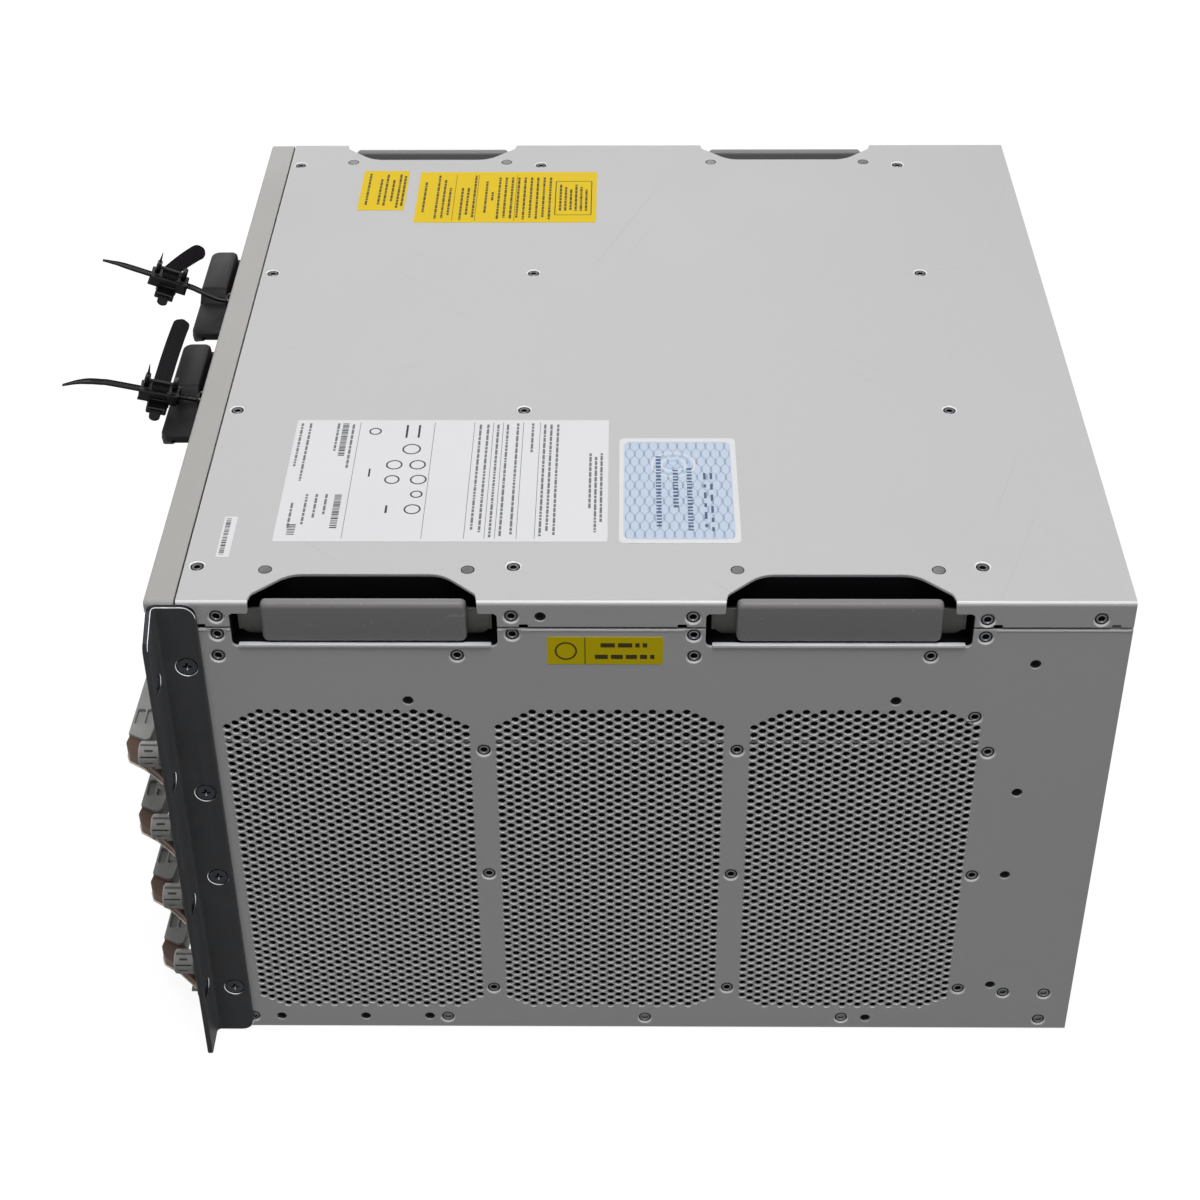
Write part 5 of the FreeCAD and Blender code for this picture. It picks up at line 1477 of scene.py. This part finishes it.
def port_bank(form, x, z, width, height, count, keyed):
    """Row of ports in a bright cage with dark mouths."""
    pitch = width / count
    frame_loop = rectangle(x - width / 2, x + width / 2, z - height / 2, z + height / 2, 0.3, 2)
    centres = [x - width / 2 + pitch * (i + 0.5) for i in range(count)]
    mouths = [port_mouth(px, z, pitch - (2.4 if keyed else 1.6), height - 1.6, keyed) for px in centres]
    cage = plate([frame_loop] + mouths, 1.3, 0.12)
    form.add(cage, "zinc", upright(-5.6))
    form.blocks("port_black", (x - width / 2 + 0.2, x + width / 2 - 0.2, -4.5, -4.25, z - height / 2 + 0.2,
                               z + height / 2 - 0.2, 0.0))
    reach = pitch / 2 - 1.6
    for px in centres:
        if keyed:
            form.blocks("contact_gold", *[(px - 3.5 + k, px - 3.2 + k, -5.0, -4.4, z + 0.6,
                                           z + height / 2 - 1.0, 0.0) for k in range(8)])
        else:
            form.blocks("port_black", (px - reach, px + reach, -5.3, -4.4, z - height / 2 + 1.4,
                                       z + height / 2 - 1.4, 0.35),
                        (px - 2.2, px + 2.2, -6.3, -5.2, z - 0.7, z + 0.7))


def module_front(z, supervisor):
    """Perforated skin, ports and lamps on a module's faceplate."""
    form = Form()
    edge = [rectangle(-150.0, 193.8, z - 21.4, z + 21.4, 0.8, 3)]
    if supervisor:
        fields = ((-146.0, -100.0, -3.0, 18.0), (138.0, 190.0, -3.0, 18.0), (-90.0, 130.0, 10.5, 19.5),
                  (-90.0, 130.0, -19.5, -7.0))
        banks = [(-72.0, z + 2.0, 42.0, 9.5, 3, True), (-26.0, z + 2.0, 42.0, 9.5, 3, True),
                 (44.0, z + 2.0, 57.0, 8.8, 4, False), (103.2, z + 2.0, 57.0, 8.8, 4, False)]
        lamps = [(x, z + 4.0 - k * 3.2) for x in (-3.5, 8.0) for k in range(3)]
    else:
        fields = ((-146.0, -98.0, -3.0, 18.0), (138.0, 190.0, -3.0, 18.0), (-90.0, 124.0, 12.6, 20.4),
                  (-90.0, 124.0, -20.4, -11.6))
        banks = [(x, z + dz, 68.0, 8.8, 4, False) for x in (-55.0, 17.0, 89.0) for dz in (7.0, -5.6)]
        lamps = [(x - 25.5 + 17.0 * k, z + 0.7) for x in (-55.0, 17.0, 89.0) for k in range(4)]
        lamps.append((-95.0, z + 16.0))
    vents = [hole for x0, x1, low, high in fields for hole in honeycomb_vent(x0, x1, z + low, z + high)]
    skin = plate(edge + vents, 0.7, 0.1, plain=range(1, len(vents) + 1))
    form.add(skin, "module_metal", upright(MODULE_FACE))
    for x0, x1, low, high in ((-147.0, -97.0, -4.0, 19.0), (137.0, 191.0, -4.0, 19.0),
                              (-91.0, 131.0, -20.8, 20.8)):
        form.blocks("dark_void", (x0, x1, *BACKING, z + low, z + high, 0.0))
    for bank in banks:
        port_bank(form, *bank)
    lens = lathe([(0.9, 0.0), (0.9, 0.35), (0.5, 0.6)], 10)
    for x, lz in lamps:
        form.add(lens, "light_pipe", facing("-y", (x, MODULE_FACE, lz)))
    return form


def module_fronts():
    for number, z in enumerate(SLOT_Z, start=1):
        piece(f"module_front_{number}", module_front(z, number in (2, 3)), f"module_{number}",
              "module_metal")


# ------------------------------------------------------------------ fan tray, blanks, rear and base

def fan_tray_front():
    form = Label("-y", (0.0, TRAY_FACE, 0.0))
    vents = honeycomb_vent(-214.0, -206.0, 66.0, 122.0) + honeycomb_vent(-192.0, -183.5, 66.0, 122.0)
    skin = plate([rectangle(-218.6, -179.4, 11.2, 175.6, 1.2, 3)] + vents, 0.6, 0.12)
    form.add(skin, "module_metal", upright(TRAY_FACE))
    form.blocks("dark_void", (-215.0, -205.5, *BACKING, 64.0, 124.0, 0.0),
                (-192.5, -182.5, *BACKING, 64.0, 124.0, 0.0))
    spine = smooth_line([(-2.2, 62.0), (-14.0, 62.6), (-20.4, 66.4), (-22.0, 76.0), (-22.2, 94.0),
                         (-22.0, 112.0), (-20.4, 121.6), (-14.0, 125.4), (-2.2, 126.0)], 5)
    section, rings = rectangle(-5.4, 5.4, -5.2, 0.2, 1.6, 4), []
    for p, d, _ in along(spine):
        n = rightward(d)
        rings.append([(TRAY_X + a, p.x + n.x * b, p.y + n.y * b) for a, b in section])
    form.add(loft(rings), "handle_black")
    for z in (140.0, 146.0, 152.0):
        form.add(lathe([(1.5, 0.0), (1.5, 0.4), (1.0, 0.8)], 14), "light_pipe",
                 facing("-y", (TRAY_X, TRAY_FACE, z)))
    form.film("label_white", -206.0, -192.0, 22.0, 44.0, 0.6)
    piece("fan_tray_front", form, "fan_tray", "module_metal")


def blank_fronts():
    for number, x in ((1, BAY_X[0]), (4, BAY_X[3])):
        form = Form()
        outline = rectangle(x - 46.6, x + 46.6, 188.6, 261.2, 1.2, 3)
        vents = honeycomb_vent(x - 40.0, x + 40.0, 194.0, 220.0, 5.2, 2.0)
        vents += honeycomb_vent(x - 40.0, x + 40.0, 234.0, 256.0, 5.2, 2.0)
        skin = plate([outline] + vents, 0.7, 0.15, plain=range(1, len(vents) + 1))
        form.add(skin, "panel_paint", upright(0.3))
        for low, high in ((193.0, 221.0), (233.0, 257.0)):
            form.blocks("dark_void", (x - 41.0, x + 41.0, 0.85, 0.95, low, high, 0.0))
        grip = rectangle(x - 17.0, x + 17.0, 0.8, -9.2, [0.4, 0.4, 4.5, 4.5], 5)
        form.add(plate([grip], 2.6, 0.5), "panel_paint", moved(dz=225.7))
        for rib in (x - 11.0, x - 5.5, x, x + 5.5, x + 11.0):
            form.blocks("panel_paint", (rib - 1.0, rib + 1.0, -8.0, -2.5, 228.1, 228.7, 0.25))
        piece(f"blank_front_{number}", form, f"supply_blank_{number}", "panel_paint")


def rear_details():
    """Rivets, seams and the grounding pad on the back of the case."""
    form = Label("+y", (0.0, DEPTH, 0.0))
    places = [(x, z) for x in (-214.0, 214.0) for z in (14.0, 62.0, 110.0, 158.0, 206.0, 242.0)]
    places += [(x, z) for x in (-150.0, -75.0, 0.0, 75.0, 150.0) for z in (9.0, 244.0)]
    for x, z in places:
        form.join(fastener("domed_rivet", "+y", (x, DEPTH, z)))
    pad_x, pad_z, half = -181.0, 45.0, 16.0
    for x in (pad_x - 8.0, pad_x + 8.0):
        form.join(flat_head("+y", (x, DEPTH + 2.4, pad_z), 4.2))
    pad = plate([rectangle(pad_x - half, pad_x + half, pad_z - half, pad_z + half, 2.0, 4)], 1.2, 0.4)
    form.add(pad, "zinc", upright(DEPTH + 1.3, -1))
    for x0, x1 in ((-200.0, -10.0), (10.0, 200.0)):
        for z0, z1 in ((80.0, 150.0), (160.0, 230.0)):
            inner = rectangle(x0 + 4, x1 - 4, z0 + 4, z1 - 4, 5.0, 6)
            ridge = plate([rectangle(x0, x1, z0, z1, 8.0, 6), inner], 0.9, 0.4)
            form.add(ridge, "panel_paint", upright(DEPTH + 0.5, -1))
    form.film("label_white", 40.0, 130.0, 20.0, 60.0, 1.0)
    piece("rear_fittings", form, "chassis", "panel_paint")


def base_details():
    """Rivets under the case."""
    form = Form()
    under = lambda x, y: (lambda p: (x + p[0], y + p[1], -p[2]))
    rings = [(3.0, -0.02), (2.5, 0.18), (1.2, 0.24)]
    for x in (-210.0, -105.0, 0.0, 105.0, 210.0):
        for y in (12.0, 110.0, 208.0, 306.0, 414.0):
            form.add(lathe(rings, 16), "rivet_steel", under(x, y))
    piece("base_rivets", form, "chassis", "panel_paint")


# ------------------------------------------------------------------ CAD parts that stay

def dress_nodes():
    """Gives the CAD parts that stay their finishes; those not named here are painted sheet."""
    finishes = {"supply_cage": "dark_zinc", "fan_bay_wall": "dark_zinc", "backplane": "board_green",
                "card_guide_right": "dark_zinc", "card_guide_left": "dark_zinc", "fan_tray": "tray_metal"}
    finishes.update({f"module_{number}": "module_metal" for number in range(1, 5)})
    finishes.update({f"supply_{number}_case": "supply_metal" for number in SUPPLY_X})
    for name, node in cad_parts.items():
        material = FINISHES[finishes.get(name, "panel_paint")]
        if not node.material_slots:
            node.data.materials.append(material)
        for slot in node.material_slots:
            slot.material = material


# ------------------------------------------------------------------ floor, light and camera

WHITE = (1.0, 1.0, 1.0, 1.0)
WORLD_LIGHT, FLOOR_SHADE, FLOOR_GLOW = 0.14, 0.16, 0.92
FLOOR_REACH, FLOOR_Z = 40.0, -0.0008                 # metres


def seen_directly(g):
    """One for rays from the camera, a mirror or a lens, zero for light on its way to a surface."""
    rays = g.add("ShaderNodeLightPath").outputs
    return g.maths("MAXIMUM", g.maths("MAXIMUM", rays["Is Camera Ray"], rays["Is Glossy Ray"]),
                   rays["Is Transmission Ray"])


def floor_material():
    """Pale floor: takes the object's shadow and shows near white to the camera."""
    material = bpy.data.materials.new("floor_pale")
    material.use_nodes = True
    g = Graph(material.node_tree)
    nodes = material.node_tree.nodes
    nodes.remove(nodes["Principled BSDF"])
    diffuse = g.add("ShaderNodeBsdfDiffuse", {"Color": (FLOOR_SHADE, FLOOR_SHADE, FLOOR_SHADE, 1.0)})
    emission = g.add("ShaderNodeEmission", {"Color": WHITE, "Strength": FLOOR_GLOW})
    both = g.add("ShaderNodeAddShader", {0: diffuse.outputs[0], 1: emission.outputs[0]})
    mix = g.add("ShaderNodeMixShader", {0: seen_directly(g), 1: diffuse.outputs[0], 2: both.outputs[0]})
    g.tree.links.new(mix.outputs[0], nodes["Material Output"].inputs["Surface"])
    return material


def floor_and_world():
    mesh = bpy.data.meshes.new("floor")
    loop = rectangle(-FLOOR_REACH, FLOOR_REACH, -FLOOR_REACH, FLOOR_REACH)
    mesh.from_pydata([(x, y, FLOOR_Z) for x, y in loop], [], [(0, 1, 2, 3)])
    mesh.materials.append(floor_material())
    floor = bpy.data.objects.new("floor", mesh)
    bpy.context.scene.collection.objects.link(floor)
    world = bpy.data.worlds.new("studio")
    bpy.context.scene.world = world
    world.use_nodes = True
    g = Graph(world.node_tree)
    strength = g.spread(seen_directly(g), 0.0, 1.0, WORLD_LIGHT, 1.0)
    background = world.node_tree.nodes["Background"]
    background.inputs["Color"].default_value = WHITE
    g.tree.links.new(strength, background.inputs["Strength"])


TARGET = Vector((0.0, 0.0, 0.13))
# name: (azimuth from the front, elevation, distance, side of the panel, watts)
LAMPS = {"overhead_panel": (98.0, 76.0, 2.3, 1.1, 33.0), "left_fill": (-80.0, 16.0, 2.4, 1.6, 8.0),
         "front_fill": (-8.0, 16.0, 2.4, 1.4, 11.0), "rear_fill": (188.0, 16.0, 2.4, 1.6, 11.0)}


def direction(azimuth, elevation):
    """Unit vector in radians, azimuth counted from the front towards the right."""
    return Vector((math.sin(azimuth) * math.cos(elevation), -math.cos(azimuth) * math.cos(elevation),
                   math.sin(elevation)))


def lamps():
    for name, (azimuth, elevation, distance, size, watts) in LAMPS.items():
        light = bpy.data.lights.new(name, "AREA")
        light.shape, light.size, light.energy = "SQUARE", size, watts
        lit = bpy.data.objects.new(name, light)
        away = direction(math.radians(azimuth), math.radians(elevation))
        lit.location = TARGET + away * distance
        lit.rotation_euler = (-away).to_track_quat("-Z", "Y").to_euler()
        bpy.context.scene.collection.objects.link(lit)


def camera():
    azimuth, elevation, roll = (math.radians(a) for a in (90.84, 37.07, -0.44))
    distance, target = 1.24185, Vector((0.0, -0.01983, 0.09905))
    back = direction(azimuth, elevation)
    right = (-back).cross(Vector((0, 0, 1))).normalized()
    up = right.cross(-back)
    side = right * math.cos(roll) + up * math.sin(roll)
    top = up * math.cos(roll) - right * math.sin(roll)
    data = bpy.data.cameras.new("camera")
    data.lens, data.sensor_width = 67.47, 36.0
    data.clip_end = 100.0
    made = bpy.data.objects.new("camera", data)
    place = Matrix((side, top, back)).transposed().to_4x4()
    place.translation = target + back * distance
    made.matrix_world = place
    bpy.context.scene.collection.objects.link(made)
    bpy.context.scene.camera = made


bpy.context.scene.view_settings.view_transform = "Standard"
camera()
make_finishes()
dress_nodes()
top_cover()
front_bezel()
side_panels()
carry_handles()
rack_ears()
module_fittings()
power_supplies()
rotors()
side_labels()
top_labels()
module_fronts()
fan_tray_front()
blank_fronts()
rear_details()
base_details()
floor_and_world()
lamps()
